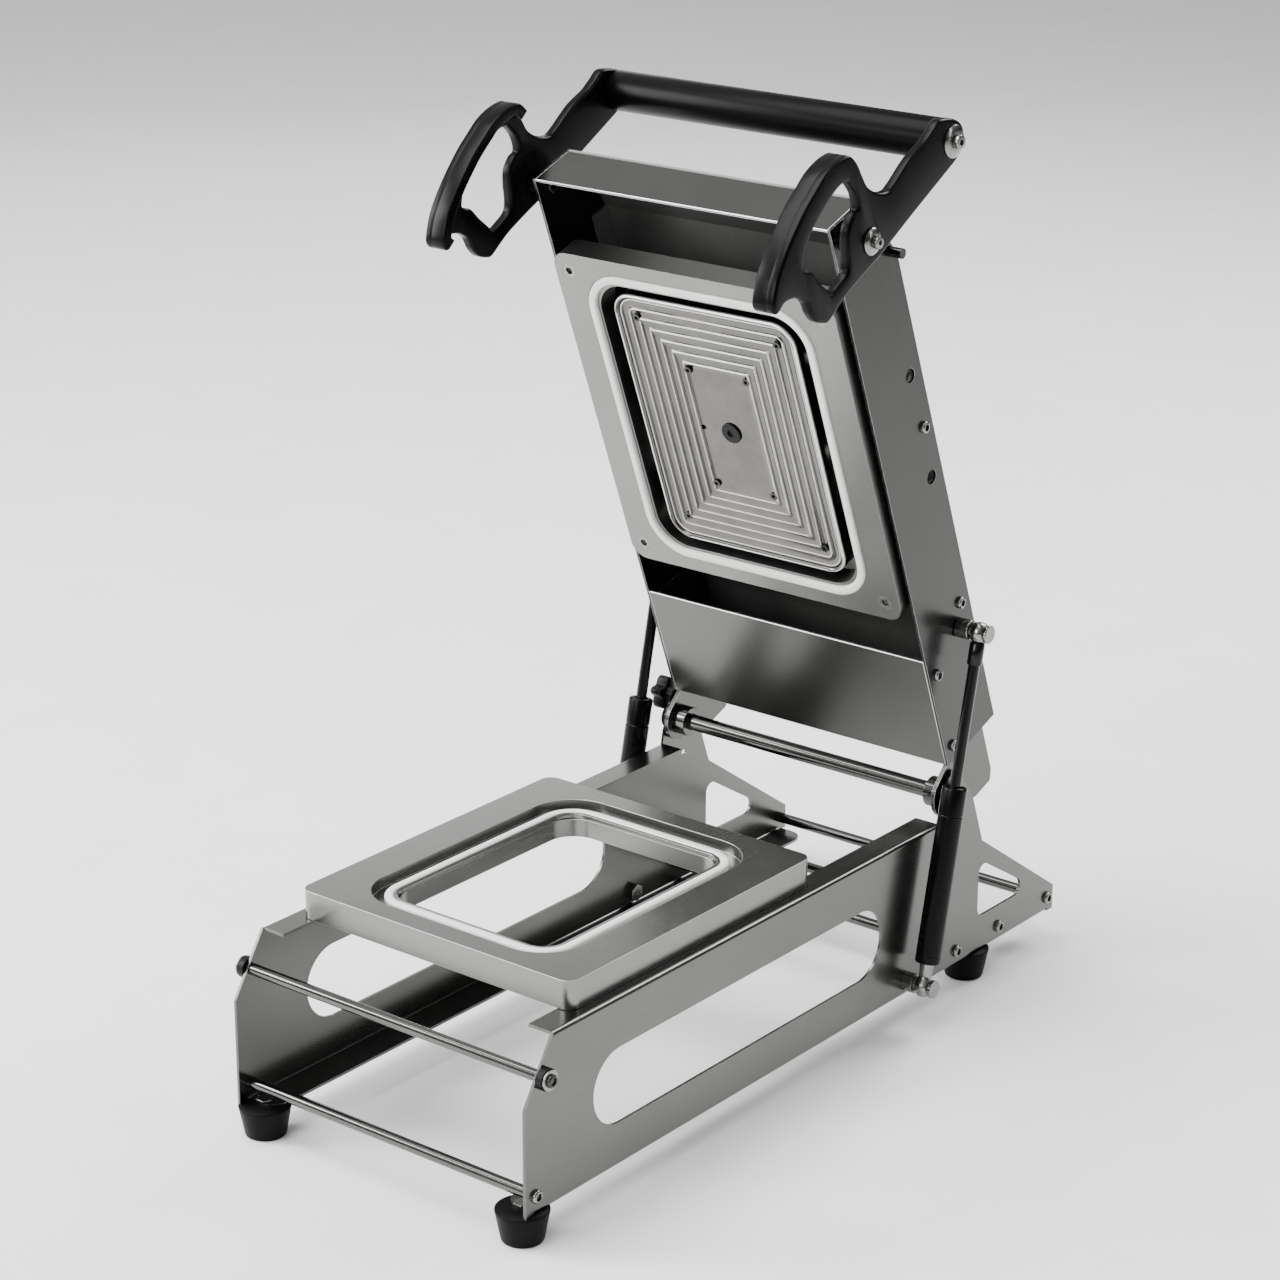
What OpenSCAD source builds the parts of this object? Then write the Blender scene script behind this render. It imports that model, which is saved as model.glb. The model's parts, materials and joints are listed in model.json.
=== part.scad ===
/* [Base frame] */
// Length of the tail behind the hinge pivot
tail_len = 142.5; // [125:0.5:160]
// Height of the base rails over their underside
rail_h = 118.8; // [106:0.1:130]
// Sheet thickness of the base side plates
base_sheet = 2; // [1.5:0.1:3]
// Inside radius of every sheet bend
bend_r = 1.2; // [0.8:0.1:2]
// Height of the upright front edge of a side plate
front_edge_h = 75.6; // [68:0.1:84]
// Distance back over which the front edge slopes to the rail
front_slope_y = 27.6; // [24:0.1:31]
// Height of the back end of the tail
tail_h = 19; // [15:0.5:24]
// Width of the top flange, outside sheet included
top_flange_w = 20; // [15:0.5:24]
// Width of the bottom flange, outside sheet included
bottom_flange_w = 26; // [20:0.5:30]
// Front end of the long slot window
slot_front_y = 66.4; // [60:0.1:74]
// Distance of the slot window's back end before the hinge pivot
slot_rear_in = 83.6; // [70:0.1:95]
// Height of the middle of the slot window
slot_z = 57.5; // [50:0.5:62]
// Half height of the slot window
slot_r = 26.5; // [20:0.5:30]
// Corner radius of the triangle window
triangle_r = 7; // [5:0.5:9]

/* [Tie bars and feet] */
// Radius of every tie bar
bar_r = 4; // [3:0.1:5]
// Distance of the front top bar from the front edge
front_bar_y = 16.5; // [14:0.1:19]
// Height of the front top bar
front_bar_z = 92.5; // [84:0.1:98]
// Thread radius of the tie bar and roller screws
tie_screw_r = 2.5; // [2:0.1:3]
// Height of a rubber foot
foot_h = 22; // [18:0.5:26]
// Radius of a foot at its top
foot_top_r = 18; // [14:0.5:20]
// Radius of a foot at the floor
foot_floor_r = 14; // [11:0.5:17]
// Distance of a foot's middle inside the base side
foot_in = 13; // [10:0.5:20]
// Distance of the front feet from the front edge
foot_front_y = 12; // [10:0.5:20]
// Distance of the rear feet before the tail's end
foot_rear_in = 98.5; // [85:0.5:120]

/* [Latch rollers] */
// Radius of a latch roller
roller_r = 7.5; // [6:0.1:9]
// Width of a latch roller
roller_w = 5.6; // [4:0.1:7]
// Radial clearance of every turning fit
run_fit = 0.05; // [0.02:0.01:0.1]
// Side gap between pieces that move past each other
side_gap = 0.3; // [0.2:0.05:0.5]

/* [Tray die] */
// Width of the die's rim beside the film groove
die_rim_x = 30; // [24:0.5:31]
// Width of the die's rim before and behind the film groove
die_rim_y = 17; // [12:0.5:24]
// Thickness of the tray die
die_h = 20; // [16:0.5:24]
// Distance of the die middle from the front edge
die_y = 183; // [170:1:196]
// Width of the tray opening
tray_w = 137; // [120:1:150]
// Length of the tray opening
tray_len = 187; // [170:1:200]
// Corner radius of the tray opening
tray_r = 20; // [14:0.5:26]
// Width of the silicone seal ring
seal_w = 9; // [7:0.5:11]
// Distance of the seal top under the die top
seal_drop = 2.9; // [2:0.1:4]

/* [Head box] */
// Distance of the hinge pivot behind the clamp plate
hinge_room = 154; // [140:1:170]
// Height of the hinge pivot over the base underside
pivot_z = 135.5; // [130:0.5:142]
// Angle of the open head over its closed position
open_angle = 69; // [60:1:75]
// Distance of the head front before the clamp plate
nose_len = 51.4; // [46:0.2:58]
// Distance of the head rear panel from the pivot
head_rear_s = 22.5; // [20:0.5:30]
// Height of the head top over the pivot
head_top_z = 67.3; // [60:0.1:74]
// Height of the head underside over the pivot
head_floor_z = 6.1; // [5:0.1:8]
// Gap between the clamp plate and a head side plate
head_room = 3.6; // [3:0.1:5]
// Sheet thickness of the head panels
head_sheet = 2; // [1.5:0.1:3]
// Radius of the hinge shaft
shaft_r = 6; // [5:0.1:8]

/* [Clamp and heater] */
// Width of the clamp plate beside its ring
clamp_rim_x = 22; // [19:0.5:26]
// Width of the clamp plate before and behind its ring
clamp_rim_y = 11; // [9:0.5:15]
// Thickness of the clamp plate
clamp_h = 18; // [14:0.5:22]
// Travel of the sprung clamp plate into the head
clamp_travel = 6.5; // [5:0.1:7]
// Overhang of the heating plate beside the tray opening
heater_over_x = 5.5; // [4:0.1:7]
// Overhang of the heating plate before and behind the tray opening
heater_over_y = 6.5; // [5:0.1:8]
// Thickness of the heating plate
heater_h = 16; // [12:0.5:18]

/* [Latch handle] */
// Reach of the handle outline from its pivot
handle_reach = 100; // [90:1:110]
// Thickness of a handle plate
handle_plate_w = 8; // [6:0.5:10]
// Radius of the handle cross bar
grip_r = 14; // [11:0.5:16]
// Thickness of the hook rim
rim_h = 7.5; // [6:0.1:9]

/* [Gas springs] */
// Radius of a gas spring cylinder
gas_r = 9; // [7.5:0.1:11]
// Radius of a gas spring rod
gas_rod_r = 4; // [3:0.1:5]
// Distance of a gas spring's middle outside the base side
gas_out = 15; // [13:0.1:18]
// Distance of a gas spring's top stud from the pivot, along the head
gas_top_s = 115.3; // [105:0.1:125]
// Length of a gas spring cylinder
gas_body_len = 128; // [115:1:132]

/* [Hidden] */
$fn = 64;
bore_fit = 0.1;
eps = 0.02;

groove_w = 8.5;
heater_gap_x = 12;
heater_gap_y = 9;
clamp_ring_w = 9;
head_play = 0.4;
seal_out_w = tray_w + seal_w * 2;
seal_out_len = tray_len + seal_w * 2;
recess_w = seal_out_w + groove_w * 2;
recess_len = seal_out_len + groove_w * 2;
die_w = recess_w + die_rim_x * 2;
die_len = recess_len + die_rim_y * 2;
heater_w = tray_w + heater_over_x * 2;
heater_len = tray_len + heater_over_y * 2;
clamp_open_w = heater_w + heater_gap_x * 2;
clamp_open_len = heater_len + heater_gap_y * 2;
ring_w = clamp_open_w + clamp_ring_w * 2;
ring_len = clamp_open_len + clamp_ring_w * 2;
clamp_w = ring_w + clamp_rim_x * 2;
clamp_len = ring_len + clamp_rim_y * 2;
head_w = clamp_w + (head_room + head_sheet) * 2;
base_w = head_w + (head_play + base_sheet) * 2;
stack_s = hinge_room + clamp_len / 2;
head_len = stack_s + clamp_len / 2 + nose_len;
pivot_y = die_y + stack_s;
base_len = pivot_y + tail_len;

half_w = base_w / 2;
web_in = half_w - base_sheet;
bend_out = bend_r + base_sheet;
tower_front_in = 15;
tower_rear_out = 27;
tower_rear_drop = 7.8;
tower_shoulder_in = 13;
tower_shoulder_drop = 6.7;
tower_neck_in = 8;
tower_neck_rise = 4.1;
tower_crown_out = 5;
tower_crown_rise = 7.5;
tower_crown_r = 9.5;
tower_boss_r = 12.5;
tower_front_y = pivot_y - tower_front_in;
tower_rear_y = pivot_y + tower_rear_out;
tower_rear_z = pivot_z - tower_rear_drop;
tower_shoulder_y = pivot_y - tower_shoulder_in;
tower_shoulder_z = pivot_z - tower_shoulder_drop;
tower_neck_y = pivot_y - tower_neck_in;
tower_neck_z = pivot_z + tower_neck_rise;
tower_crown_y = pivot_y + tower_crown_out;
tower_crown_z = pivot_z + tower_crown_rise;
notch_out = 42;
notch_z = 88;
notch_y = pivot_y + notch_out;
slot_rear_y = pivot_y - slot_rear_in;
bottom_flange_front = 8;
bottom_flange_rear_in = 7.5;
bottom_flange_rear = base_len - bottom_flange_rear_in;
flange_corner_r = 12;
relief_out = 11;
relief_y = pivot_y + relief_out;
relief_z = 104;
relief_r = 2.5;
triangle_front_in = 96.5;
triangle_rear_in = 53.5;
triangle_front_y = base_len - triangle_front_in;
triangle_rear_y = base_len - triangle_rear_in;
triangle_low_z = 35;
triangle_high_z = 61.5;
low_bar_y = 10;
low_bar_z = 13;
rear_bar_out = 12.6;
middle_bar_in = 74.5;
tail_bar_in = 8.5;
rear_bar_ys = [pivot_y + rear_bar_out, base_len - middle_bar_in,
  base_len - tail_bar_in];
rear_bar_z = 11.2;
bar_thread_len = 14;
screw_head_r = 4.5;
screw_head_h = 2.8;
screw_socket_r = 1.5;
screw_socket_h = 1.4;
foot_screw_r = 3;
foot_screw_head_r = 6;
foot_recess_h = 12;
foot_lip = 2;
foot_x = half_w - foot_in;
foot_rear_y = base_len - foot_rear_in;

roller_bush_r = 4.2;
roller_in = half_w + side_gap;
roller_out = roller_in + roller_w;
washer_in = roller_out + side_gap;
washer_h = 1.2;
roller_washer_r = 7;
cap_h = 2.2;

die_z = rail_h + side_gap;
die_top_z = die_z + die_h;
die_corner_r = 9;
groove_depth = 8;
recess_r = tray_r + groove_w + seal_w / 2;
seal_top_z = die_top_z - seal_drop;
seal_h = 4;
pin_hole_r = 3;
locate_pin_h = 8;
locate_drop = 4;
locate_in_x = 15;
locate_in_y = 28;
locate_x = half_w - locate_in_x;
locate_y = die_len / 2 - locate_in_y;

head_in = head_w / 2 - head_sheet;
head_out = head_w / 2;
slope_in = 54.7;
slope_drop = 21.1;
slope_s = head_len - slope_in;
nose_top_z = head_top_z - slope_drop;
arm_w = 3;
arm_in = head_in - arm_w;
arm_round_r = 16;
arm_top_z = 54;
arm_front_s = 110;
arm_low_z = head_floor_z + head_sheet;
arm_nose_s = 12;
arm_nose_z = 11;
arm_rear_top_y = 18;
arm_rear_y = 26;
arm_rear_high_z = 50;
arm_rear_low_z = 31;
boss_r = 11;
boss_w = 10.5;
shaft_cap_r = 9;
shaft_cap_h = 4.5;
shaft_over = 0.6;
lower_panel_s = 115;
head_hole_r = 4.2;
head_screw_r = 1.9;
head_button_r = 4.2;
head_button_h = 2.8;
stop_pin_in = 46.4;
stop_pin_drop = 9.3;
stop_pin_s = head_len - stop_pin_in;
stop_pin_z = head_top_z - stop_pin_drop;
stop_pin_r = 3.5;
stop_pin_len = 12;
head_screw_in = 4;
head_screw_points = [[stack_s - head_screw_in, 57], [131.6, 56],
  [97.5, 15.4], [33.8, 15.9]];
head_hole_out = 39.3;
head_hole_in = 43;
head_hole_ss = [stack_s + head_hole_out, stack_s - head_hole_in];
head_screw_over = 1;
cover_flange_h = 18;

clamp_face_z = 1;
clamp_corner_r = 12;
ring_proud = 1.6;
ring_bed = 1.4;
ring_r = 32;
ring_open_r = 24;
clamp_screw_in_x = 12;
clamp_screw_in_y = 14;
clamp_screw_x = clamp_w / 2 - clamp_screw_in_x;
clamp_screw_s = clamp_len / 2 - clamp_screw_in_y;
clamp_screw_r = 3;
clamp_screw_head_r = 5;
clamp_screw_head_h = 4;
clamp_screw_len = 14;
heater_face_z = 1.4;
heater_r = 12;
heater_rim_w = 3.2;
heater_rim_h = 1.6;
step_count = 7;
step_w = 7.4;
step_depth = 0.9;
step_gap_w = 4.4;
step_corner_r = 1.5;
heater_screw_r = 1.8;
heater_screw_head_r = 2.9;
heater_screw_head_h = 1.6;
middle_screw_r = 4;
middle_screw_head_r = 7.8;
heater_screw_in_xs = [15.2, 49.5];
heater_screw_in_ys = [17, 53];
heater_screw_xs = [for (d = heater_screw_in_xs) heater_w / 2 - d];
heater_screw_ys = [for (d = heater_screw_in_ys) heater_len / 2 - d];
sensor_hole_r = 2;
sensor_hole_x = 24;
insulation_inset = 6;
cross_w = 30;
cross_h = 3;
cross_in = 49;
cross_s = clamp_len / 2 - cross_in;
cross_wall_h = 16;
cross_top_gap = 1.3;
guide_in_x = 16;
guide_in_y = 44;
guide_x = clamp_w / 2 - guide_in_x;
guide_s = clamp_len / 2 - guide_in_y;
guide_r = 4;
guide_boss_r = 8;
guide_wall = 1.5;
guide_len = 17;
guide_neck_h = 3;

handle_pivot_in = 12.2;
handle_pivot_s = head_len - handle_pivot_in;
handle_pivot_up = 19.4;
spacer_r = 9;
journal_r = 5.5;
handle_washer_r = 9;
handle_washer_top_r = 5.5;
handle_washer_h = 2.4;
handle_play = 0.7;
handle_in = washer_in + washer_h + cap_h + handle_play;
handle_out = handle_in + handle_plate_w;
rim_play = 1;
rim_in = half_w + rim_play;
grip_a = 14.2;
grip_b = 101.5;
grip_washer_r = 11;
grip_washer_top_r = 6.5;
grip_bolt_r = 3;
grip_bolt_head_r = 4.8;
grip_bolt_len = 30;
handle_bolt_r = 2.5;
handle_bolt_head_r = 4.2;
handle_bolt_head_h = 4;
handle_nut_r = 5;
handle_nut_h = 3;
curve_steps = 4;
handle_shares = [[0.3430, -0.9400], [0.3200, -0.8400], [0.2930, -0.7330],
  [0.2760, -0.5590], [0.2150, -0.3510], [0.2070, -0.2660],
  [0.2630, -0.1610], [0.3460, -0.0860], [0.4410, -0.0570],
  [0.5460, -0.0320], [0.6320, 0.0200], [0.6560, 0.0910], [0.6620, 0.1890],
  [0.6480, 0.3000], [0.6110, 0.4040], [0.5650, 0.5250], [0.5090, 0.6360],
  [0.4500, 0.7400], [0.3870, 0.8350], [0.3250, 0.9150], [0.2580, 0.9780],
  [0.1570, 1.0430], [0.1000, 1.0340], [0.0900, 0.9990], [0.1130, 0.9320],
  [0.0990, 0.8590], [0.0640, 0.7920], [0.0020, 0.7350], [-0.0450, 0.7220],
  [-0.1040, 0.7130], [-0.1780, 0.6790], [-0.2300, 0.6170],
  [-0.2510, 0.5640], [-0.2270, 0.4750], [-0.1920, 0.3410],
  [-0.1650, 0.1200], [-0.1500, -0.0500], [-0.1260, -0.1960],
  [-0.0800, -0.4800], [-0.0300, -0.8200], [0.0020, -1.0150],
  [0.0500, -1.1100], [0.1620, -1.1500], [0.2600, -1.0900]];
opening_shares = [[0.4670, 0.0850], [0.3740, 0.0470], [0.2720, 0.0510],
  [0.2550, 0.1080], [0.1990, 0.1870], [0.1070, 0.2290], [-0.0070, 0.2580],
  [-0.0670, 0.2980], [-0.0900, 0.3900], [-0.0980, 0.4810],
  [-0.0450, 0.5130], [0.0600, 0.5760], [0.1540, 0.6230],
  [0.2100, 0.6920], [0.2630, 0.6740], [0.3330, 0.6200], [0.4100, 0.4940],
  [0.4800, 0.3110], [0.5060, 0.1830], [0.4930, 0.1070]];
rim_mask_shares = [[0.4500, -0.1400], [0.8000, -0.1400],
  [0.8000, 1.1500], [0.0800, 1.1500], [0.0850, 0.8800], [0.2200, 0.7200],
  [0.3800, 0.5200], [0.4600, 0.2000]];

gas_x = half_w + gas_out;
gas_low_in = 51;
gas_low_y = pivot_y - gas_low_in;
gas_low_z = 11;
gas_top_z = 48.7;
gas_low_len = 17.4;
gas_run_y = pivot_y - gas_top_s * cos(open_angle)
  + gas_top_z * sin(open_angle) - gas_low_y;
gas_run_z = pivot_z + gas_top_s * sin(open_angle)
  + gas_top_z * cos(open_angle) - gas_low_z;
gas_len = norm([gas_run_y, gas_run_z]);
gas_lean = atan2(gas_run_y, gas_run_z);
gas_wall = 1.5;
gas_neck_h = 6;
gas_groove_h = 1.4;
gas_groove_d = 0.6;
gas_groove_pos = 20;
gas_piston_h = 8;
gas_rod_in = 96;
gas_eye_r = 8.5;
gas_eye_w = 12;
gas_fitting_r = 6;
gas_fitting_len = 22;
gas_stud_r = 4;
gas_stud_head_r = 6.5;
gas_stud_head_h = 3;
gas_stud_collar_r = 7;
gas_nut_r = 7;
gas_nut_h = 5;

block_in = 10;
block_rise = 9.5;
block_y = pivot_y - block_in;
block_z = pivot_z + block_rise;
block_len = 34;
block_h = 18;
block_w = 9;
block_r = 3;

knob_r = 19;
knob_h = 16;
control_s = 150;
control_x = 60;
control_depth = 16;
knob_stem_r = 3;
knob_waist_r = 15;
knob_skirt_h = 5;
thermostat_r = 14;
switch_w = 22;
switch_len = 30;
switch_lip = 2;
switch_lip_h = 1.6;
rocker_gap = 0.4;
rocker_rise = 3;
rocker_depth = 8;
rocker_tilt = 8;
rocker_pin_r = 1.5;
rocker_pin_z = 2;
inlet_w = 28;
inlet_h = 22;
inlet_depth = 20;
inlet_wall = 2;
inlet_flange = 5;
inlet_z = 36;
inlet_x = 50;
inlet_pin_w = 2;
inlet_pin_h = 4;
inlet_pin_pitch = 7;

cross_z = clamp_h - clamp_face_z + clamp_travel + cross_top_gap;
frame_mid_y = (base_len + foot_front_y - foot_top_r) / 2;

function between(a, b, c, d, t) =
  (2 * b + (c - a) * t + (2 * a - 5 * b + 4 * c - d) * t * t
  + (3 * b - a - 3 * c + d) * t * t * t) / 2;
function smooth(p, n) = [
  for (i = [0 : len(p) - 1])
    for (k = [0 : n - 1])
      between(p[(i + len(p) - 1) % len(p)], p[i], p[(i + 1) % len(p)],
        p[(i + 2) % len(p)], k / n)];

// Turns base measures, from the front edge and underside, into the part.
module in_base() {
  translate([0, -frame_mid_y, foot_h])
    children();
}

// Turns head measures, from the pivot with the head shut, into the part.
module in_head() {
  in_base()
    translate([0, pivot_y, pivot_z])
      rotate([-open_angle, 0, 0])
        children();
}

// Turns gas spring measures, along its axis from the low end.
module in_gas(side) {
  in_base()
    translate([side * gas_x, gas_low_y, gas_low_z])
      rotate([-gas_lean, 0, 0])
        children();
}

module both_sides() {
  children();
  mirror([1, 0, 0])
    children();
}

module side_of(side) {
  mirror([side < 0 ? 1 : 0, 0, 0])
    children();
}

module sheet_x(points, x0, x1) {
  translate([x0, 0, 0])
    rotate([90, 0, 90])
      linear_extrude(x1 - x0)
        polygon(points);
}

module rod_x(r, x0, x1, y, z) {
  translate([x0, y, z])
    rotate([0, 90, 0])
      cylinder(r = r, h = x1 - x0);
}

module ring_x(r, hole, x0, x1, y, z) {
  difference() {
    rod_x(r, x0, x1, y, z);
    rod_x(hole, x0 - eps, x1 + eps, y, z);
  }
}

// A cup washer along X that narrows outward from r0 to r1.
module cup_x(r0, r1, hole, x0, x1, y, z) {
  difference() {
    translate([x0, y, z])
      rotate([0, 90, 0])
        cylinder(r1 = r0, r2 = r1, h = x1 - x0);
    rod_x(hole, x0 - eps, x1 + eps, y, z);
  }
}

module box(x0, x1, y0, y1, z0, z1) {
  translate([x0, y0, z0])
    cube([x1 - x0, y1 - y0, z1 - z0]);
}

// A slab with four round upright corners, centred, from z0 to z1.
module round_slab(w, l, r, z0, z1) {
  box(-w / 2 + r, w / 2 - r, -l / 2, l / 2, z0, z1);
  box(-w / 2, w / 2, -l / 2 + r, l / 2 - r, z0, z1);
  for (x = [-w / 2 + r, w / 2 - r])
    for (y = [-l / 2 + r, l / 2 - r])
      translate([x, y, z0])
        cylinder(r = r, h = z1 - z0);
}

// A screw along X from its head seat inward, with a hex socket.
module screw_x(r, len, head_r, head_h, seat, y, z) {
  difference() {
    union() {
      rod_x(r, seat - len, seat + eps, y, z);
      rod_x(head_r, seat, seat + head_h, y, z);
    }
    translate([seat + head_h - screw_socket_h, y, z])
      rotate([0, 90, 0])
        cylinder(r = screw_socket_r, h = screw_socket_h * 2, $fn = 6);
  }
}

// A side sheet: the web with its tower, windows and two inward flanges.
module side_plate() {
  difference() {
    union() {
      difference() {
        union() {
          sheet_x([[0, 0], [0, front_edge_h], [front_slope_y, rail_h],
            [tower_front_y, rail_h], [tower_shoulder_y, tower_shoulder_z],
            [tower_neck_y, tower_neck_z], [tower_crown_y, tower_crown_z],
            [tower_crown_y + tower_crown_r, tower_crown_z],
            [tower_rear_y, tower_rear_z], [notch_y, notch_z],
            [base_len, tail_h], [base_len, 0]], web_in, half_w);
          rod_x(tower_crown_r, web_in, half_w, tower_crown_y, tower_crown_z);
          rod_x(tower_boss_r, web_in, half_w, pivot_y, pivot_z);
        }
        box(web_in - eps, half_w + eps, front_slope_y, tower_front_y,
          rail_h - bend_out, rail_h + eps);
        box(web_in - eps, half_w + eps, bottom_flange_front,
          bottom_flange_rear, -eps, bend_out);
      }
      translate([half_w - bend_out, tower_front_y, rail_h - bend_out])
        rotate([90, 0, 0])
          rotate_extrude(angle = 90)
            translate([bend_r, 0])
              square([base_sheet, tower_front_y - front_slope_y]);
      translate([half_w - bend_out, bottom_flange_front, bend_out])
        rotate([-90, 0, 0])
          rotate_extrude(angle = 90)
            translate([bend_r, 0])
              square([base_sheet, bottom_flange_rear - bottom_flange_front]);
      box(half_w - top_flange_w, half_w - bend_out, front_slope_y,
        tower_front_y, rail_h - base_sheet, rail_h);
      bottom_flange();
    }
    rod_x(slot_r, web_in - eps, half_w + eps, slot_front_y + slot_r, slot_z);
    rod_x(slot_r, web_in - eps, half_w + eps, slot_rear_y - slot_r, slot_z);
    box(web_in - eps, half_w + eps, slot_front_y + slot_r,
      slot_rear_y - slot_r, slot_z - slot_r, slot_z + slot_r);
    triangle_window();
    rod_x(relief_r, web_in - eps, half_w + eps, relief_y, relief_z);
    rod_x(shaft_r + run_fit, web_in - eps, half_w + eps, pivot_y, pivot_z);
    for (y = rear_bar_ys)
      rod_x(tie_screw_r + bore_fit, web_in - eps, half_w + eps, y,
        rear_bar_z);
    rod_x(tie_screw_r + bore_fit, web_in - eps, half_w + eps, low_bar_y,
      low_bar_z);
    rod_x(tie_screw_r + bore_fit, web_in - eps, half_w + eps, front_bar_y,
      front_bar_z);
    rod_x(gas_stud_r + bore_fit, web_in - eps, half_w + eps, gas_low_y,
      gas_low_z);
    for (y = [foot_front_y, foot_rear_y])
      translate([foot_x, y, -eps])
        cylinder(r = foot_screw_r + bore_fit, h = base_sheet + eps * 2);
    for (y = [die_y - locate_y, die_y + locate_y])
      translate([locate_x, y, rail_h - base_sheet - eps])
        cylinder(r = pin_hole_r + bore_fit * 2, h = base_sheet + eps * 2);
  }
}

module bottom_flange() {
  x0 = half_w - bottom_flange_w;
  y0 = bottom_flange_front;
  y1 = bottom_flange_rear;
  box(x0, half_w - bend_out, y0 + flange_corner_r, y1 - flange_corner_r,
    0, base_sheet);
  box(x0 + flange_corner_r, half_w - bend_out, y0, y1, 0, base_sheet);
  for (y = [y0 + flange_corner_r, y1 - flange_corner_r])
    translate([x0 + flange_corner_r, y, 0])
      cylinder(r = flange_corner_r, h = base_sheet);
}

// The rounded triangle is the hull of three upright corner discs.
module triangle_window() {
  hull() {
    rod_x(triangle_r, web_in - eps, half_w + eps, triangle_front_y,
      triangle_low_z, $fn = 32);
    rod_x(triangle_r, web_in - eps, half_w + eps, triangle_rear_y,
      triangle_low_z, $fn = 32);
    rod_x(triangle_r, web_in - eps, half_w + eps, triangle_front_y,
      triangle_high_z, $fn = 32);
  }
}

module left_side_plate() {
  color("silver")
    in_base()
      side_of(-1)
        side_plate();
}

module right_side_plate() {
  color("silver")
    in_base()
      side_plate();
}

module tie_bar(y, z) {
  difference() {
    rod_x(bar_r, -web_in, web_in, y, z);
    both_sides()
      rod_x(tie_screw_r + run_fit, web_in - bar_thread_len, half_w, y, z);
  }
}

module front_top_bar() {
  color("silver")
    in_base()
      tie_bar(front_bar_y, front_bar_z);
}

module front_bottom_bar() {
  color("silver")
    in_base()
      tie_bar(low_bar_y, low_bar_z);
}

module rear_bars() {
  color("silver")
    in_base()
      for (y = rear_bar_ys)
        tie_bar(y, rear_bar_z);
}

module tie_bar_screws() {
  color("gainsboro")
    in_base()
      both_sides() {
        for (y = rear_bar_ys)
          screw_x(tie_screw_r, bar_thread_len, screw_head_r, screw_head_h,
            half_w, y, rear_bar_z);
        screw_x(tie_screw_r, bar_thread_len, screw_head_r, screw_head_h,
          half_w, low_bar_y, low_bar_z);
      }
}

module at_feet() {
  for (x = [-foot_x, foot_x])
    for (y = [foot_front_y, foot_rear_y])
      translate([x, y, 0])
        children();
}

module rubber_feet() {
  color("dimgray")
    in_base()
      at_feet()
        difference() {
          translate([0, 0, -foot_h])
            cylinder(r1 = foot_floor_r, r2 = foot_top_r, h = foot_h);
          translate([0, 0, -foot_h])
            cylinder(r = foot_screw_head_r + bore_fit, h = foot_recess_h);
          translate([0, 0, -foot_h])
            cylinder(r = foot_screw_r + bore_fit, h = foot_h * 2);
        }
}

module foot_screws() {
  color("gainsboro")
    in_base()
      at_feet() {
        translate([0, 0, foot_recess_h - foot_h - foot_lip])
          cylinder(r = foot_screw_head_r, h = foot_lip);
        translate([0, 0, foot_recess_h - foot_h - eps])
          cylinder(r = foot_screw_r, h = foot_h - foot_recess_h + base_sheet
            + foot_lip + eps);
        translate([0, 0, base_sheet])
          cylinder(r = foot_screw_head_r, h = foot_lip, $fn = 6);
      }
}

module hinge_shaft() {
  color("silver")
    in_base()
      rod_x(shaft_r, -half_w - shaft_over, half_w + shaft_over, pivot_y,
        pivot_z);
}

module shaft_caps() {
  color("dimgray")
    in_base()
      both_sides()
        difference() {
          rod_x(shaft_cap_r, half_w, half_w + shaft_cap_h, pivot_y, pivot_z);
          rod_x(shaft_r + run_fit, half_w - eps, half_w + shaft_over,
            pivot_y, pivot_z);
        }
}

module lower_gas_studs() {
  eye = gas_x - gas_eye_w / 2;
  tip = gas_x + gas_eye_w / 2 + side_gap;
  color("gainsboro")
    in_base()
      both_sides() {
        rod_x(gas_stud_collar_r, half_w, eye - side_gap, gas_low_y,
          gas_low_z);
        rod_x(gas_stud_r, web_in - gas_nut_h, tip + eps, gas_low_y,
          gas_low_z);
        rod_x(gas_stud_head_r, tip, tip + gas_stud_head_h, gas_low_y,
          gas_low_z);
        rod_x(gas_nut_r, web_in - gas_nut_h, web_in, gas_low_y,
          gas_low_z, $fn = 6);
      }
}

// A small block outside the left tower, with rounded upright edges.
module hinge_block() {
  color("dimgray")
    in_base()
      translate([-half_w - block_w / 2, block_y + block_len / 2, 0])
        round_slab(block_w, block_len, block_r, block_z, block_z + block_h);
}

module roller_bushes() {
  color("silver")
    in_base()
      both_sides()
        ring_x(roller_bush_r, tie_screw_r + run_fit, half_w, washer_in,
          front_bar_y, front_bar_z);
}

module roller_washers() {
  color("silver")
    in_base()
      both_sides()
        ring_x(roller_washer_r, tie_screw_r + run_fit, washer_in,
          washer_in + washer_h, front_bar_y, front_bar_z);
}

module roller_screws() {
  color("gainsboro")
    in_base()
      both_sides()
        screw_x(tie_screw_r, bar_thread_len + roller_w + washer_h,
          screw_head_r, cap_h, washer_in + washer_h, front_bar_y,
          front_bar_z);
}

module latch_roller() {
  ring_x(roller_r, roller_bush_r + run_fit, roller_in, roller_out,
    front_bar_y, front_bar_z);
}

module left_roller() {
  color("dimgray")
    in_base()
      side_of(-1)
        latch_roller();
}

module right_roller() {
  color("dimgray")
    in_base()
      latch_roller();
}

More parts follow.
